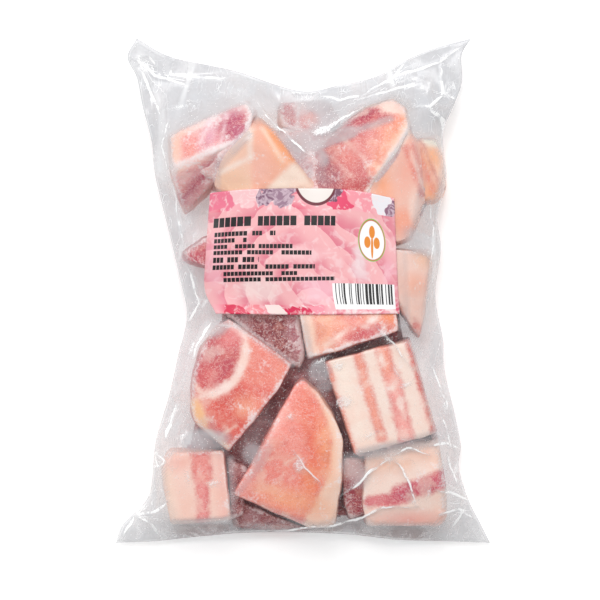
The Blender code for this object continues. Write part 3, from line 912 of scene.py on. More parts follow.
def film_haze(places, gap, meat, margin):
    """How milky the front film is."""
    upper = np.clip((places[..., 1] - 20) / 60, 0, 1)
    open_haze = OPEN_HAZE + OPEN_HAZE_MARGIN * margin + OPEN_HAZE_UPPER * upper
    free = np.clip(gap / (FREE_GAP - FREE_GAP_LESS_UPPER * upper), 0, 1)
    haze = TOUCHING_HAZE + TOUCHING_HAZE_UPPER * upper + (open_haze - TOUCHING_HAZE) * eased(free)
    border = np.clip(1.2 - softened((meat > 0).astype(float), BORDER_SPREAD), 0, 1)
    haze = np.maximum(haze, (BORDER_HAZE + BORDER_HAZE_UPPER * upper) * border ** 1.5)
    for shape, fade, milk in FOG:
        haze = np.maximum(haze, milk * eased(within(shape, places, fade)))
    for shape, fade, share in CLEAR:
        haze *= 1 - share * within(shape, places, fade)
    return haze * (1 - 0.8 * label_hold(places))


def film_bag(places, front, back, meat, material):
    """The clear film. Haze is how milky it is, fold where it creases, and frost where ice clings to it."""
    mesh, i, j, is_front = slab_mesh("film", places, front, back)
    gap = softened(np.where(meat > 0, front - meat, OPEN_GAP), GAP_SOFTENING)
    margin = np.clip(1.25 - 1.7 * softened((meat > 0).astype(float), MARGIN_SPREAD), 0, 1)
    seam = np.clip((-119 - places[..., 1]) / 8, 0, 1) * np.clip((84 - np.abs(places[..., 0])) / 20, 0, 1)
    # Convex bends of the front film, which the shader whitens as stress whitening and painted highlight
    bend = np.zeros_like(front)
    bend[1:-1, 1:-1] = front[1:-1, 1:-1] - neighbours(front)
    crease = np.clip((bend - 0.03) / 0.15, 0, 1) * (1 - label_hold(places))
    frost = np.clip(0.12 + 0.7 * np.clip(gap / 4, 0, 1) * (1 - margin), 0, 1)
    fold, strength = fold_marks(places)
    glint = np.max([within(oval(*spot), places, 2, 0.5) for spot in GLINTS], axis=0)
    back_haze = BACK_HAZE + BACK_HAZE_MARGIN * margin + BACK_HAZE_SEAM * seam
    for name, on_front, on_back in (
        ("haze", film_haze(places, gap, meat, margin), back_haze), ("crease", crease, 0),
        ("frost", frost, 0), ("fold", fold, FOLD_REACH), ("fold_strength", strength, 0),
        ("margin", margin, 0), ("glint", glint, 0),
    ):
        on_back = np.broadcast_to(on_back, front.shape)
        give(mesh, name, np.where(is_front, on_front[i, j], on_back[i, j]))
    return shown_for_bag("film", mesh, material)


# Heights of the trimmings: their foot, the dark ones low in the bag, and the room under the film
TRIMMINGS_FOOT = 1.6
DARK_LEVEL = 14
UPPER_ROOM = 3.5
RIMED_ROOM = 0.9
TRIMMINGS_SOFTENING = 6
# Narrow gaps between cuts that pale rime fills almost up to the film
RIMED_GAPS = (
    band((58, 88), (32, 47), 1.6), band((61, 82), (66, 50), 1.4), band((31, -87.5), (72, -77.8), 1.6),
    band((-27, 98), (-33, 84), 1.2), band((-33, 84), (-46, 70), 1.2), band((37, 60), (56, 88), 1.4),
    band((66, 47), (58, 31), 1.2),
)
# A greenish patch of the fill right of the middle, low in the bag
GREENISH_PATCH = band((26, -35), (46, -29), 2)


def in_rimed_gaps(spots, lead):
    """How far each spot lies in one of the rimed gaps, with a soft edge."""
    return np.max([within(gap, spots, 1.5, lead) for gap in RIMED_GAPS], axis=0)


def trimmings_top(spots, front, meat):
    """How far the trimmings fill the bag at each spot, and how high they reach."""
    crowd = softened((meat > 0).astype(float), CROWD_SPREAD)[::2, ::2]
    film = softened(front, TRIMMINGS_SOFTENING)[::2, ::2]
    upper = np.clip((spots[..., 1] + 2) / 8, 0, 1)
    side = np.clip((52 - 0.1 * spots[..., 1] - spots[..., 0]) / 5, 0, 1)
    fill = np.clip((crowd - 0.5 - 0.26 * upper) / 0.12, 0, 1) * (1 - (1 - upper) * (1 - side))
    rimed = in_rimed_gaps(spots, 0.5)
    fill = np.maximum(fill, rimed)
    rough = (1.6 * soft_noise(spots, 6, 21) + 0.8 * soft_noise(spots, 2.5, 22)) * (1 - 0.8 * rimed)
    level = (1 - upper) * DARK_LEVEL + upper * (film - UPPER_ROOM)
    level += rimed * (film - RIMED_ROOM - level)
    top = TRIMMINGS_FOOT + 0.3 + eased(fill) * (level + rough * 1.5)
    return fill, np.clip(top, TRIMMINGS_FOOT + 0.2, film - 1.5 + 0.8 * rimed)


def trimmings(places, front, meat, material):
    """What is frozen into the gaps between cuts: dark scraps and juices low in the bag, near black partly as
    painted shade of the gaps, rime higher up.
    """
    spots = places[::2, ::2]
    fill, top = trimmings_top(spots, front, meat)
    shape = bmesh.new()
    columns, rows = top.shape[0] - 1, top.shape[1] - 1
    bmesh.ops.create_grid(shape, x_segments=columns, y_segments=rows, size=0.5)
    bare = []
    for point in shape.verts:
        a, b = round((point.co.x + 0.5) * columns), round((point.co.y + 0.5) * rows)
        point.co = (*spots[a, b], top[a, b])
        if fill[a, b] <= 0:
            bare.append(point)
    bmesh.ops.delete(shape, geom=bare, context="VERTS")
    lower = bmesh.ops.extrude_face_region(shape, geom=shape.faces[:], use_keep_orig=True)["geom"]
    for point in lower:
        if isinstance(point, bmesh.types.BMVert):
            point.co.z = TRIMMINGS_FOOT
    bmesh.ops.scale(shape, verts=shape.verts, vec=(MM, MM, MM))
    bmesh.ops.recalc_face_normals(shape, faces=shape.faces)
    mesh = bpy.data.meshes.new("trimmings")
    shape.to_mesh(mesh)
    shape.free()

    count = len(mesh.vertices)
    points = read_points(mesh) / MM
    pale = np.maximum(np.clip(points[:, 1] / 16 + 0.5, 0, 1), in_rimed_gaps(points, 1))[:, None]
    green = within(GREENISH_PATCH, points, 3, 0.5)[:, None]
    # The low fill's near-black red is partly dark scraps and juices and partly painted shade of the gaps
    scraps_and_shade_colour = (1 - green) * (0.12, 0.012, 0.02) + green * (0.26, 0.25, 0.12)
    give(mesh, "lean", np.full(count, 9.0))
    give(mesh, "lean_colour", (1 - pale) * scraps_and_shade_colour + pale * (0.80, 0.60, 0.58))
    give(mesh, "fat_colour", np.tile(MAUVE, (count, 1)))
    give(mesh, "frost", 0.3 + 0.3 * pale[:, 0])
    # Painted shade in dark red over the low fill, as on the cuts
    give(mesh, "deep", 0.5 * (1 - pale[:, 0]) * (1 - green[:, 0]))
    mesh.shade_smooth()
    return shown_for_bag("trimmings", mesh, material)


# Materials
def put(tree, kind, feeds=None, **settings):
    """A new node with its settings, and with its inputs set to values or fed by other nodes' outputs."""
    made = tree.nodes.new(kind)
    for name, value in settings.items():
        setattr(made, name, value)
    for place, value in (feeds or {}).items():
        if isinstance(value, bpy.types.NodeSocket):
            tree.links.new(value, made.inputs[place])
        else:
            made.inputs[place].default_value = value
    return made


def split(tree, place):
    return put(tree, "ShaderNodeSeparateXYZ", {"Vector": place}).outputs


def vector_maths(tree, operation, first, second):
    return put(tree, "ShaderNodeVectorMath", {0: first, 1: second}, operation=operation).outputs[0]


def roughened(tree, surface, strength, distance, height):
    """Lets a surface's light follow fine heights."""
    bump = put(tree, "ShaderNodeBump", {"Strength": strength, "Distance": distance, "Height": height})
    tree.links.new(bump.outputs[0], surface.inputs["Normal"])


def maths(tree, operation, *values, clamp=False):
    feeds = dict(enumerate(values))
    return put(tree, "ShaderNodeMath", feeds, operation=operation, use_clamp=clamp).outputs[0]


def times(tree, *values):
    """All the values multiplied."""
    result = values[0]
    for value in values[1:]:
        result = maths(tree, "MULTIPLY", result, value)
    return result


def highest(tree, *values):
    result = values[0]
    for value in values[1:]:
        result = maths(tree, "MAXIMUM", result, value)
    return result


def ramped(tree, value, low, high, to_low=0.0, to_high=1.0):
    feeds = {"Value": value, "From Min": low, "From Max": high, "To Min": to_low, "To Max": to_high}
    return put(tree, "ShaderNodeMapRange", feeds, interpolation_type="SMOOTHSTEP").outputs[0]


def blended(tree, share, first, second, kind="MIX"):
    made = put(tree, "ShaderNodeMix", data_type="RGBA", blend_type=kind)
    sockets = {"Factor": share, "A": first, "B": second}
    for socket in made.inputs:
        is_colour = socket.type == "RGBA"
        if socket.name in sockets and (is_colour or socket.name == "Factor" and socket.type == "VALUE"):
            value = sockets[socket.name]
            if isinstance(value, bpy.types.NodeSocket):
                tree.links.new(value, socket)
            else:
                socket.default_value = (*value, 1) if is_colour else value
    return [out for out in made.outputs if out.type == "RGBA"][0]


def grain(tree, place, scale, detail=2.0, distortion=0.0):
    feeds = {"Vector": place, "Scale": scale, "Detail": detail, "Distortion": distortion}
    return put(tree, "ShaderNodeTexNoise", feeds).outputs["Fac"]


def stored(tree, name, output="Fac"):
    return put(tree, "ShaderNodeAttribute", attribute_name=name).outputs[output]


def new_material(name, roughness):
    material = bpy.data.materials.new(name)
    material.use_nodes = True
    surface = material.node_tree.nodes["Principled BSDF"]
    surface.inputs["Roughness"].default_value = roughness
    return material, material.node_tree, surface


def new_group(name, output, *inputs):
    """A shader group with number inputs after its place, and one number that comes out."""
    group = bpy.data.node_groups.new(name, "ShaderNodeTree")
    group.interface.new_socket("Place", in_out="INPUT", socket_type="NodeSocketVector")
    for label in inputs:
        group.interface.new_socket(label, in_out="INPUT", socket_type="NodeSocketFloat")
    group.interface.new_socket(output, in_out="OUTPUT", socket_type="NodeSocketFloat")
    return group, group.nodes.new("NodeGroupInput").outputs


def give_out(group, value):
    group.links.new(value, group.nodes.new("NodeGroupOutput").inputs[0])
    return group


def used(tree, group, **feeds):
    """A shader group at work in a material, with its inputs set, and its one output."""
    return put(tree, "ShaderNodeGroup", feeds, node_tree=group).outputs[0]


def ice_specks_group():
    """Scattered white grains of ice: more of them where Amount is high."""
    group, given = new_group("ice specks", "Specks", "Scale", "Amount")
    cells = put(group, "ShaderNodeTexVoronoi", {"Vector": given["Place"], "Scale": given["Scale"]})
    tone = put(group, "ShaderNodeSeparateColor", {"Color": cells.outputs["Color"]})
    chosen = maths(group, "LESS_THAN", tone.outputs[0], given["Amount"])
    size = maths(group, "MULTIPLY_ADD", tone.outputs[1], 0.22, 0.12)
    dot = maths(group, "LESS_THAN", cells.outputs["Distance"], size)
    return give_out(group, times(group, chosen, dot))


def frozen_pork(ice):
    """Layered lean and fat, marbled, dark red deep in the gaps, partly their lean sides and partly painted
    shade, with frosty edges and ice grains all over.
    """
    material, tree, surface = new_material("frozen_pork", 0.42)
    place = put(tree, "ShaderNodeTexCoord").outputs["Object"]
    uneven = grain(tree, place, 170, 3)
    fine = grain(tree, place, 900, 3)
    edge = maths(tree, "MULTIPLY_ADD", uneven, 3.6, stored(tree, "lean"))
    edge = maths(tree, "MULTIPLY_ADD", fine, 2.6, edge)
    faded = ramped(tree, grain(tree, place, 110, 3), 0.36, 0.5, 0.55, 1.0)
    lean_share = times(tree, ramped(tree, edge, 1.3, 5.0), faded)
    veins = grain(tree, place, 260, 5, 1.8)
    veins = maths(tree, "ABSOLUTE", maths(tree, "SUBTRACT", veins, 0.5))
    veins = ramped(tree, veins, 0.0, 0.045, 0.45, 0.0)
    lean = stored(tree, "lean_colour", "Color")
    fat = stored(tree, "fat_colour", "Color")
    broad = grain(tree, place, 95, 3)
    dawn = blended(tree, 0.5, lean, (0.95, 0.50, 0.36))
    lean = blended(tree, ramped(tree, broad, 0.50, 0.72, 0, 0.55), lean, dawn)
    dusk = blended(tree, 0.5, lean, (0.42, 0.03, 0.05))
    lean = blended(tree, ramped(tree, broad, 0.30, 0.48, 0.40, 0), lean, dusk)
    speckle = grain(tree, place, 1500, 2)
    lean = blended(tree, ramped(tree, speckle, 0.50, 0.70, 0.0, 0.5), lean, dusk)
    lean = blended(tree, veins, lean, (0.95, 0.72, 0.64))
    warm = ramped(tree, grain(tree, place, 80, 3), 0.40, 0.75, 0, 0.35)
    fat = blended(tree, warm, fat, (0.94, 0.50, 0.38))
    fat = blended(tree, ramped(tree, speckle, 0.55, 0.75, 0.0, 0.25), fat, (0.80, 0.40, 0.34))
    lean = blended(tree, 1.0, lean, (1.0, 0.80, 0.80), "MULTIPLY")
    colour = blended(tree, lean_share, fat, lean)
    # Painted shade deep in the gaps between cuts, partly their dark lean sides
    colour = blended(tree, stored(tree, "deep"), colour, GAP_SHADE_RED)
    rime = maths(tree, "MULTIPLY_ADD", grain(tree, place, 800, 5), 1.5, stored(tree, "frost"))
    rime = maths(tree, "MULTIPLY_ADD", ramped(tree, grain(tree, place, 140, 3), 0.56, 0.70), 0.35, rime)
    rime = ramped(tree, rime, 1.12, 1.75, 0.0, 0.75)
    colour = blended(tree, rime, colour, (0.92, 0.83, 0.83))
    grains = used(tree, ice, Place=place, Scale=1500.0, Amount=0.14)
    colour = blended(tree, times(tree, grains, 0.6), colour, (0.97, 0.92, 0.92))
    tree.links.new(colour, surface.inputs["Base Color"])
    tree.links.new(ramped(tree, rime, 0, 0.6, 0.32, 0.6), surface.inputs["Roughness"])
    height = maths(tree, "MULTIPLY_ADD", fine, 0.6, uneven)
    roughened(tree, surface, 0.35, 0.0006, height)
    return material


def clear_film(ice):
    """Thin milky film: nearly clear on the meat, hazy where it hangs free, white along its creases as stress
    whitening and painted highlight.
    """
    material, tree, surface = new_material("clear_film", 0.2)
    place = put(tree, "ShaderNodeTexCoord").outputs["Object"]
    margin = stored(tree, "margin")
    streaks = grain(tree, place, 45, 3, 0.6)
    haze = times(tree, stored(tree, "haze"), ramped(tree, streaks, 0.3, 0.7, 0.8, 1.2))

    # The set folds: a broken painted highlight line, and a paler slope on one side of it, painted light
    wobble = maths(tree, "MULTIPLY_ADD", grain(tree, place, 500, 2), 0.8, -0.4)
    fold = maths(tree, "ADD", stored(tree, "fold"), wobble)
    strength = stored(tree, "fold_strength")
    width = maths(tree, "MULTIPLY_ADD", strength, 0.9, 0.3)
    away = maths(tree, "DIVIDE", maths(tree, "ABSOLUTE", fold), width)
    broken = ramped(tree, grain(tree, place, 160, 3), 0.38, 0.55, 0.25, 1.0)
    line = times(tree, ramped(tree, away, 0.35, 1.0, 1.0, 0.0), broken)
    line = times(tree, line, maths(tree, "MULTIPLY", strength, 2.0, clamp=True))
    slope = times(tree, ramped(tree, fold, 0.0, 6.0, 1.0, 0.0), maths(tree, "GREATER_THAN", fold, 0.0))
    slope = times(tree, slope, strength, 0.16)

    # Fine crackle, flakes, rucks and silky waves of the loose margins: painted light and shade across the
    # rucks and waves, and painted highlights along crackle, flakes, rucks and silky sheen
    crackle = put(tree, "ShaderNodeTexVoronoi", {"Vector": place, "Scale": 95.0}, feature="DISTANCE_TO_EDGE")
    crackle = ramped(tree, crackle.outputs["Distance"], 0.0, 0.035, 1.0, 0.0)
    some = ramped(tree, grain(tree, place, 70, 3), 0.54, 0.66)
    crackle = times(tree, crackle, some, margin, 0.45)
    flake_glints = ramped(tree, grain(tree, place, 260, 3, 2.0), 0.68, 0.80, 0.0, 0.45)
    flake_glints = times(tree, flake_glints, some, margin)
    slim = vector_maths(tree, "MULTIPLY", place, (1.0, 0.35, 0.5))
    rucks = maths(tree, "SUBTRACT", grain(tree, slim, 110, 3, 1.2), 0.5)
    silk_sheen = grain(tree, slim, 42, 1.5, 1.4)
    shade = ramped(tree, rucks, -0.12, 0.12, -0.10, 0.10)
    shade = maths(tree, "ADD", shade, ramped(tree, silk_sheen, 0.38, 0.62, 0.11, -0.11))
    haze = maths(tree, "MULTIPLY_ADD", shade, margin, haze)
    rucks = ramped(tree, maths(tree, "ABSOLUTE", rucks), 0.0, 0.014, 1.0, 0.0)
    rucks = times(tree, rucks, margin, ramped(tree, streaks, 0.4, 0.6, 0.05, 0.45))
    silk_sheen = times(tree, ramped(tree, silk_sheen, 0.60, 0.72, 0.0, 0.35), margin)

    # Places that catch the light
    crinkle = maths(tree, "ABSOLUTE", maths(tree, "SUBTRACT", grain(tree, place, 330, 3, 2.2), 0.5))
    crinkle = times(tree, ramped(tree, crinkle, 0.0, 0.035, 1.0, 0.0), stored(tree, "glint"))
    patchy = maths(tree, "MULTIPLY_ADD", grain(tree, place, 900, 4, 1.0), 1.6, stored(tree, "glint"))
    patchy = highest(tree, ramped(tree, patchy, 1.45, 1.9, 0.0, 0.7), crinkle)
    # Painted highlights along convex creases, partly stress whitening of the film
    creases = times(tree, stored(tree, "crease"), 0.35)
    # All painted highlights of the film together
    bright = highest(tree, line, crackle, flake_glints, rucks, silk_sheen, creases, times(tree, patchy, 0.85))
    ice_amount = times(tree, stored(tree, "frost"), 0.32)
    grains = used(tree, ice, Place=place, Scale=1400.0, Amount=ice_amount)
    alpha = maths(tree, "ADD", haze, slope)
    alpha = maths(tree, "MULTIPLY_ADD", bright, 0.8, alpha)
    alpha = maths(tree, "MULTIPLY_ADD", grains, 0.5, alpha, clamp=True)
    # Painted highlights and ice grains whiten the film
    white = maths(tree, "MAXIMUM", bright, grains, clamp=True)
    white = ramped(tree, white, 0.0, 0.7)
    tree.links.new(blended(tree, white, (0.63, 0.635, 0.66), (1.0, 1.0, 1.0)), surface.inputs["Base Color"])
    tree.links.new(alpha, surface.inputs["Alpha"])
    ripples = maths(tree, "MULTIPLY_ADD", grain(tree, place, 700, 2), 0.3, grain(tree, place, 180, 3, 0.8))
    roughened(tree, surface, 0.2, 0.0008, ripples)
    return material


# The label's sheet: its cells, how far it lies above the film, and its thickness
LABEL_COLUMNS = 130
LABEL_ROWS = 84
LABEL_LIFT = 0.12
LABEL_THICKNESS = 0.18


def printed_label(film_tree, material):
    """The label, a thin sheet that follows the front film, with its print laid out over it."""
    edges = (LABEL_LEFT_EDGE, LABEL_RIGHT_EDGE, LABEL_BOTTOM_EDGE, LABEL_TOP_EDGE)
    places = sheet_places(*edges, LABEL_COLUMNS, LABEL_ROWS)
    back = heights_over(film_tree, places) + LABEL_LIFT
    mesh, i, j, _ = slab_mesh("label", places, back + LABEL_THICKNESS, back)
    layer = mesh.uv_layers.new(name="print")
    corner = np.empty(len(mesh.loops), np.int32)
    mesh.loops.foreach_get("vertex_index", corner)
    uv = np.stack((i[corner] / LABEL_COLUMNS, j[corner] / LABEL_ROWS), axis=1)
    layer.data.foreach_set("uv", uv.astype(np.float32).ravel())
    label = shown("front_label", mesh, material)
    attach(label, "root")
    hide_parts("label")
    return label


def drawn(group, whole, seed):
    """A number from none to one drawn by lot for each whole number."""
    spot = put(group, "ShaderNodeCombineXYZ", {"X": whole, "Y": seed}).outputs[0]
    return put(group, "ShaderNodeTexWhiteNoise", {"Vector": spot}, noise_dimensions="2D").outputs["Value"]


def distance(group, across, up):
    return maths(group, "SQRT", maths(group, "MULTIPLY_ADD", across, across, times(group, up, up)))


def box_group():
    """One inside a box on the label, in millimetres from the label's lower left corner."""
    group, given = new_group("print box", "Mask", "Left", "Bottom", "Right", "Top")
    spot = split(group, given["Place"])
    across = maths(group, "MINIMUM", maths(group, "SUBTRACT", spot["X"], given["Left"]),
                   maths(group, "SUBTRACT", given["Right"], spot["X"]))
    up = maths(group, "MINIMUM", maths(group, "SUBTRACT", spot["Y"], given["Bottom"]),
               maths(group, "SUBTRACT", given["Top"], spot["Y"]))
    return give_out(group, ramped(group, maths(group, "MINIMUM", across, up), -0.08, 0.08))


def oval_group():
    """How deep inside an oval a place on the label lies: one at its middle, none on its outline."""
    group, given = new_group("print oval", "Depth", "X", "Y", "Half Width", "Half Height")
    spot = split(group, given["Place"])
    across = maths(group, "DIVIDE", maths(group, "SUBTRACT", spot["X"], given["X"]), given["Half Width"])
    up = maths(group, "DIVIDE", maths(group, "SUBTRACT", spot["Y"], given["Y"]), given["Half Height"])
    return give_out(group, maths(group, "SUBTRACT", 1.0, distance(group, across, up)))


def blocks_group():
    """A row of plain small blocks with gaps between runs of them."""
    group, given = new_group("print blocks", "Mask", "Left", "Pitch", "Run", "Seed")
    spot = split(group, given["Place"])
    steps = maths(group, "DIVIDE", maths(group, "SUBTRACT", spot["X"], given["Left"]), given["Pitch"])
    count = maths(group, "FLOOR", steps)
    part = maths(group, "FRACT", steps)
    words = maths(group, "FLOOR", maths(group, "DIVIDE", count, given["Run"]))
    chance = drawn(group, words, given["Seed"])
    last = maths(group, "SUBTRACT", count, times(group, words, given["Run"]))
    room = maths(group, "MULTIPLY_ADD", chance, 2.0, maths(group, "SUBTRACT", given["Run"], 2.5))
    kept = maths(group, "LESS_THAN", last, room)
    block = maths(group, "LESS_THAN", part, 0.86)
    return give_out(group, times(group, kept, block))


def stripes_group():
    """Upright bars whose widths follow no code."""
    group, given = new_group("print stripes", "Mask", "Pitch", "Seed")
    spot = split(group, given["Place"])
    count = maths(group, "FLOOR", maths(group, "DIVIDE", spot["X"], given["Pitch"]))
    return give_out(group, maths(group, "LESS_THAN", drawn(group, count, given["Seed"]), 0.52))


def arcs_group():
    """Rounded petals one behind the other, each pale at its edge and deeper behind it."""
    group, given = new_group("print arcs", "Tone", "X", "Y", "Spacing")
    warp = maths(group, "MULTIPLY_ADD", grain(group, given["Place"], 0.06, 2), 9.0, -4.5)
    spot = split(group, given["Place"])
    across = maths(group, "SUBTRACT", spot["X"], given["X"])
    up = maths(group, "SUBTRACT", spot["Y"], given["Y"])
    far = maths(group, "ADD", distance(group, across, up), warp)
    return give_out(group, maths(group, "FRACT", maths(group, "DIVIDE", far, given["Spacing"])))


LABEL_WIDTH = 105.0
LABEL_HEIGHT = 67.0
PANEL = (0.0, 6.0, 105.0, 56.5)
INK = (0.006, 0.005, 0.006)
# Rows of small blocks in place of wording: pitch, blocks in a run, left, bottom, right, top
ROWS = (
    (3.6, 7.0, 3.5, 48.6, 71.0, 53.4), (2.1, 5.0, 4.5, 43.7, 39.0, 46.1), (2.1, 8.0, 4.5, 40.2, 23.0, 42.6),
    (2.1, 6.0, 4.5, 36.7, 48.0, 39.1), (2.1, 9.0, 4.5, 33.2, 58.0, 35.6), (2.1, 4.0, 4.5, 29.7, 30.0, 32.1),
    (2.1, 7.0, 4.5, 26.2, 60.0, 28.6), (2.1, 5.0, 11.0, 22.5, 51.0, 24.9),
    (2.3, 10.0, 11.0, 18.8, 71.0, 21.4),
)
STRIPE_BOX = (69.5, 3.0, 103.0, 17.5)
STRIPES = (70.6, 6.4, 101.8, 17.5)
# Rounded fields of the upper and lower printed strips: middle, half width and height, colour
PRINTED_MEAT = (
    (8.0, 64.0, 12.0, 7.5, (0.86, 0.20, 0.30)), (22.0, 66.0, 8.0, 8.0, (0.95, 0.58, 0.60)),
    (74.0, 62.0, 8.0, 7.0, (0.82, 0.08, 0.17)), (86.0, 65.5, 9.0, 8.0, (0.94, 0.34, 0.40)),
    (97.0, 64.0, 6.0, 10.0, (0.86, 0.84, 0.88)), (12.0, 1.5, 8.0, 4.5, (0.70, 0.03, 0.09)),
    (24.0, 3.0, 5.5, 4.0, (0.90, 0.26, 0.30)), (36.0, 2.0, 6.0, 4.5, (0.97, 0.80, 0.76)),
    (49.0, 1.5, 7.5, 4.5, (0.72, 0.03, 0.10)), (60.0, 3.0, 5.0, 3.5, (0.92, 0.30, 0.38)),
)
PRINTED_LEAVES = (
    (33.0, 64.5, 6.0, 6.5, (0.24, 0.12, 0.19)), (43.0, 65.0, 6.5, 8.0, (0.34, 0.20, 0.28)),
    (70.0, 66.5, 5.5, 4.5, (0.20, 0.07, 0.12)), (103.0, 60.0, 3.5, 6.0, (0.28, 0.13, 0.20)),
)
PRINTED_CAP = ((60.0, 70.0, 11.5, 12.0, (0.15, 0.014, 0.03)), (60.0, 70.6, 10.4, 11.0, (0.86, 0.79, 0.75)))
# Soft pale and rosy fields of the panel
PALE_PATCHES = (
    (30.0, 15.0, 16.0, 11.0, (0.96, 0.84, 0.80)), (62.0, 15.0, 15.0, 10.0, (0.97, 0.58, 0.66)),
    (52.0, 34.0, 20.0, 8.0, (0.96, 0.61, 0.63)), (84.0, 30.0, 7.0, 14.0, (0.88, 0.80, 0.82)),
    (6.0, 30.0, 8.0, 20.0, (0.93, 0.48, 0.56)), (100.0, 26.0, 5.0, 12.0, (0.94, 0.52, 0.60)),
)
MEDALLION = (91.0, 42.5, 8.0, 11.5)
MEDALLION_RINGS = (
    (0.0, 0.03, (0.22, 0.55, 0.10)), (0.05, 0.07, (0.60, 0.16, 0.08)), (0.10, 0.13, (0.97, 0.97, 0.96)),
)
# A sprig of leaves on the medallion: middle, half width and height
LEAVES = ((91.0, 39.0, 0.7, 6.5), (88.3, 41.5, 1.9, 3.2), (93.7, 41.5, 1.9, 3.2), (91.0, 47.0, 1.8, 3.4))


def label_print():
    """Pink petals under a pale panel with rows of blocks, a box of stripes and a medallion with a sprig."""
    material, tree, surface = new_material("label_print", 0.35)
    corner = put(tree, "ShaderNodeUVMap", uv_map="print").outputs[0]
    place = vector_maths(tree, "MULTIPLY", corner, (LABEL_WIDTH, LABEL_HEIGHT, 0.0))
    box, oval_mask, arcs = box_group(), oval_group(), arcs_group()
    rows, stripes = blocks_group(), stripes_group()

    def boxed(edges):
        return used(tree, box, Place=place, Left=edges[0], Bottom=edges[1], Right=edges[2], Top=edges[3])

    def rounded(shape, low=0.0, high=0.03, where=None):
        names = {"X": shape[0], "Y": shape[1], "Half Width": shape[2], "Half Height": shape[3]}
        return ramped(tree, used(tree, oval_mask, Place=where or place, **names), low, high)

    petals = used(tree, arcs, Place=place, X=58.0, Y=4.0, Spacing=12.0)
    others = used(tree, arcs, Place=place, X=8.0, Y=-12.0, Spacing=16.0)
    side = ramped(tree, grain(tree, place, 0.035, 2), 0.42, 0.58)
    tone = put(tree, "ShaderNodeMix", {0: side, 2: petals, 3: others}, data_type="FLOAT").outputs[0]
    tone = ramped(tree, tone, 0.0, 0.7)
    warp = put(tree, "ShaderNodeTexNoise", {"Vector": place, "Scale": 0.13, "Detail": 2.5}).outputs["Color"]
    warp = vector_maths(tree, "SUBTRACT", warp, (0.5, 0.5, 0.5))
    warp = vector_maths(tree, "MULTIPLY", warp, (13.0, 13.0, 13.0))
    uneven_place = vector_maths(tree, "ADD", place, warp)
    colour = blended(tree, tone, (0.78, 0.12, 0.20), (0.93, 0.45, 0.49))
    streaks = ramped(tree, grain(tree, place, 0.16, 4, 1.5), 0.5, 0.66)
    colour = blended(tree, times(tree, streaks, 0.75), colour, (0.97, 0.84, 0.83))
    marbling = ramped(tree, grain(tree, place, 0.25, 4, 1.5), 0.5, 0.66, 0.0, 0.6)
    folds_of_leaf = ramped(tree, grain(tree, place, 0.22, 2, 2.0), 0.42, 0.6)
    for shapes, veins, pale in (
        (PRINTED_MEAT, marbling, (0.98, 0.78, 0.78)), (PRINTED_LEAVES, folds_of_leaf, (0.60, 0.44, 0.52)),
    ):
        for *shape, paint in shapes:
            shade = blended(tree, veins, paint, pale)
            colour = blended(tree, rounded(shape, 0.0, 0.08, uneven_place), colour, shade)
    for *shape, paint in PRINTED_CAP:
        colour = blended(tree, rounded(shape), colour, paint)
    base = blended(tree, tone, (0.76, 0.21, 0.28), (0.91, 0.46, 0.48))
    base = blended(tree, times(tree, streaks, 0.4), base, (0.96, 0.76, 0.77))
    for *shape, paint in PALE_PATCHES:
        soft = times(tree, rounded(shape, 0.0, 0.7, uneven_place), 0.6)
        base = blended(tree, soft, base, paint)
    colour = blended(tree, boxed(PANEL), colour, base)
    inked = []
    for count, (pitch, run, *edges) in enumerate(ROWS):
        words = used(tree, rows, Place=place, Left=edges[0], Pitch=pitch, Run=run, Seed=3.0 + count)
        inked.append(times(tree, boxed(edges), words))
    colour = blended(tree, highest(tree, *inked), colour, INK)
    colour = blended(tree, boxed(STRIPE_BOX), colour, (0.97, 0.97, 0.97))
    bars = times(tree, boxed(STRIPES), used(tree, stripes, Place=place, Pitch=0.48, Seed=5.0))
    colour = blended(tree, bars, colour, INK)
    for low, high, paint in MEDALLION_RINGS:
        colour = blended(tree, rounded(MEDALLION, low, high), colour, paint)
    for leaf in LEAVES:
        colour = blended(tree, rounded(leaf, 0.0, 0.1), colour, (0.83, 0.27, 0.03))
    tree.links.new(colour, surface.inputs["Base Color"])
    spot = put(tree, "ShaderNodeTexCoord").outputs["Object"]
    roughened(tree, surface, 0.12, 0.0008, grain(tree, spot, 120, 3))
    return material


FLOOR_DROP = 0.0003
# Lamps: where each stands, its size and its power
LAMPS = {
    "key": ((-0.2, 0.8, 1.5), 0.9, 13.0),
    "fill": ((0.7, -0.1, 1.4), 1.0, 3.5),
    "glint_left": ((-0.75, 0.1, 0.6), 0.1, 1.2),
    "glint_top": ((0.15, 0.8, 0.55), 0.1, 1.2),
}


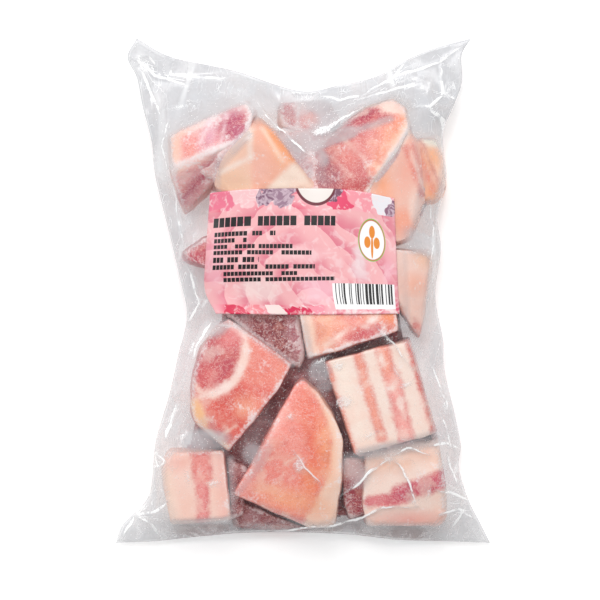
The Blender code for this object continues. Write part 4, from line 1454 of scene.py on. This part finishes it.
def floor_and_lights():
    plate = bmesh.new()
    bmesh.ops.create_grid(plate, x_segments=1, y_segments=1, size=3)
    mesh = bpy.data.meshes.new("floor")
    plate.to_mesh(mesh)
    plate.free()
    mesh.transform(Matrix.Translation((0, 0, -FLOOR_DROP)))
    material, _, surface = new_material("pale_floor", 0.6)
    surface.inputs["Base Color"].default_value = (0.93, 0.93, 0.93, 1)
    surface.inputs["Specular IOR Level"].default_value = 0
    surface.inputs["Emission Color"].default_value = (1, 1, 1, 1)
    surface.inputs["Emission Strength"].default_value = 0.25
    floor = shown("floor", mesh, material)
    world = bpy.data.worlds.new("studio")
    world.use_nodes = True
    world.node_tree.nodes["Background"].inputs["Color"].default_value = (1, 1, 1, 1)
    world.node_tree.nodes["Background"].inputs["Strength"].default_value = 0.42
    bpy.context.scene.world = world
    for name, (where, size, power) in LAMPS.items():
        lamp = bpy.data.lights.new(name, "AREA")
        lamp.size = size
        lamp.energy = power
        light = shown(name, lamp)
        light.location = where
        light.rotation_euler = (-Vector(where)).to_track_quat("-Z", "Y").to_euler()


VIEW_WIDTH = 0.324
VIEW_MIDDLE = (-0.0016, -0.0046, 0.025)
CAMERA_RISE = 2.2


def look_down():
    lens = bpy.data.cameras.new("camera")
    lens.sensor_width = 36
    lens.lens = lens.sensor_width * CAMERA_RISE / VIEW_WIDTH
    camera = shown("camera", lens)
    camera.location = Vector(VIEW_MIDDLE) + Vector((0, 0, CAMERA_RISE))
    bpy.context.scene.camera = camera


def main():
    look_down()
    floor_and_lights()
    blocks = {name: cut_block(cut[0]) for name, cut in CUTS.items()}
    places, front, back, meat = film_sheets(blocks)
    ice = ice_specks_group()
    film = film_bag(places, front, back, meat, clear_film(ice))
    shape = bmesh.new()
    shape.from_mesh(film.data)
    bmesh.ops.scale(shape, verts=shape.verts, vec=(1 / MM, 1 / MM, 1 / MM))
    film_tree = BVHTree.FromBMesh(shape)
    shape.free()
    pork = frozen_pork(ice)
    for name, cut in CUTS.items():
        frozen_cut(name, cut, blocks, film_tree, pork)
    trimmings(places, front, meat, pork)
    printed_label(film_tree, label_print())
    bpy.context.scene.view_settings.view_transform = "Standard"


main()
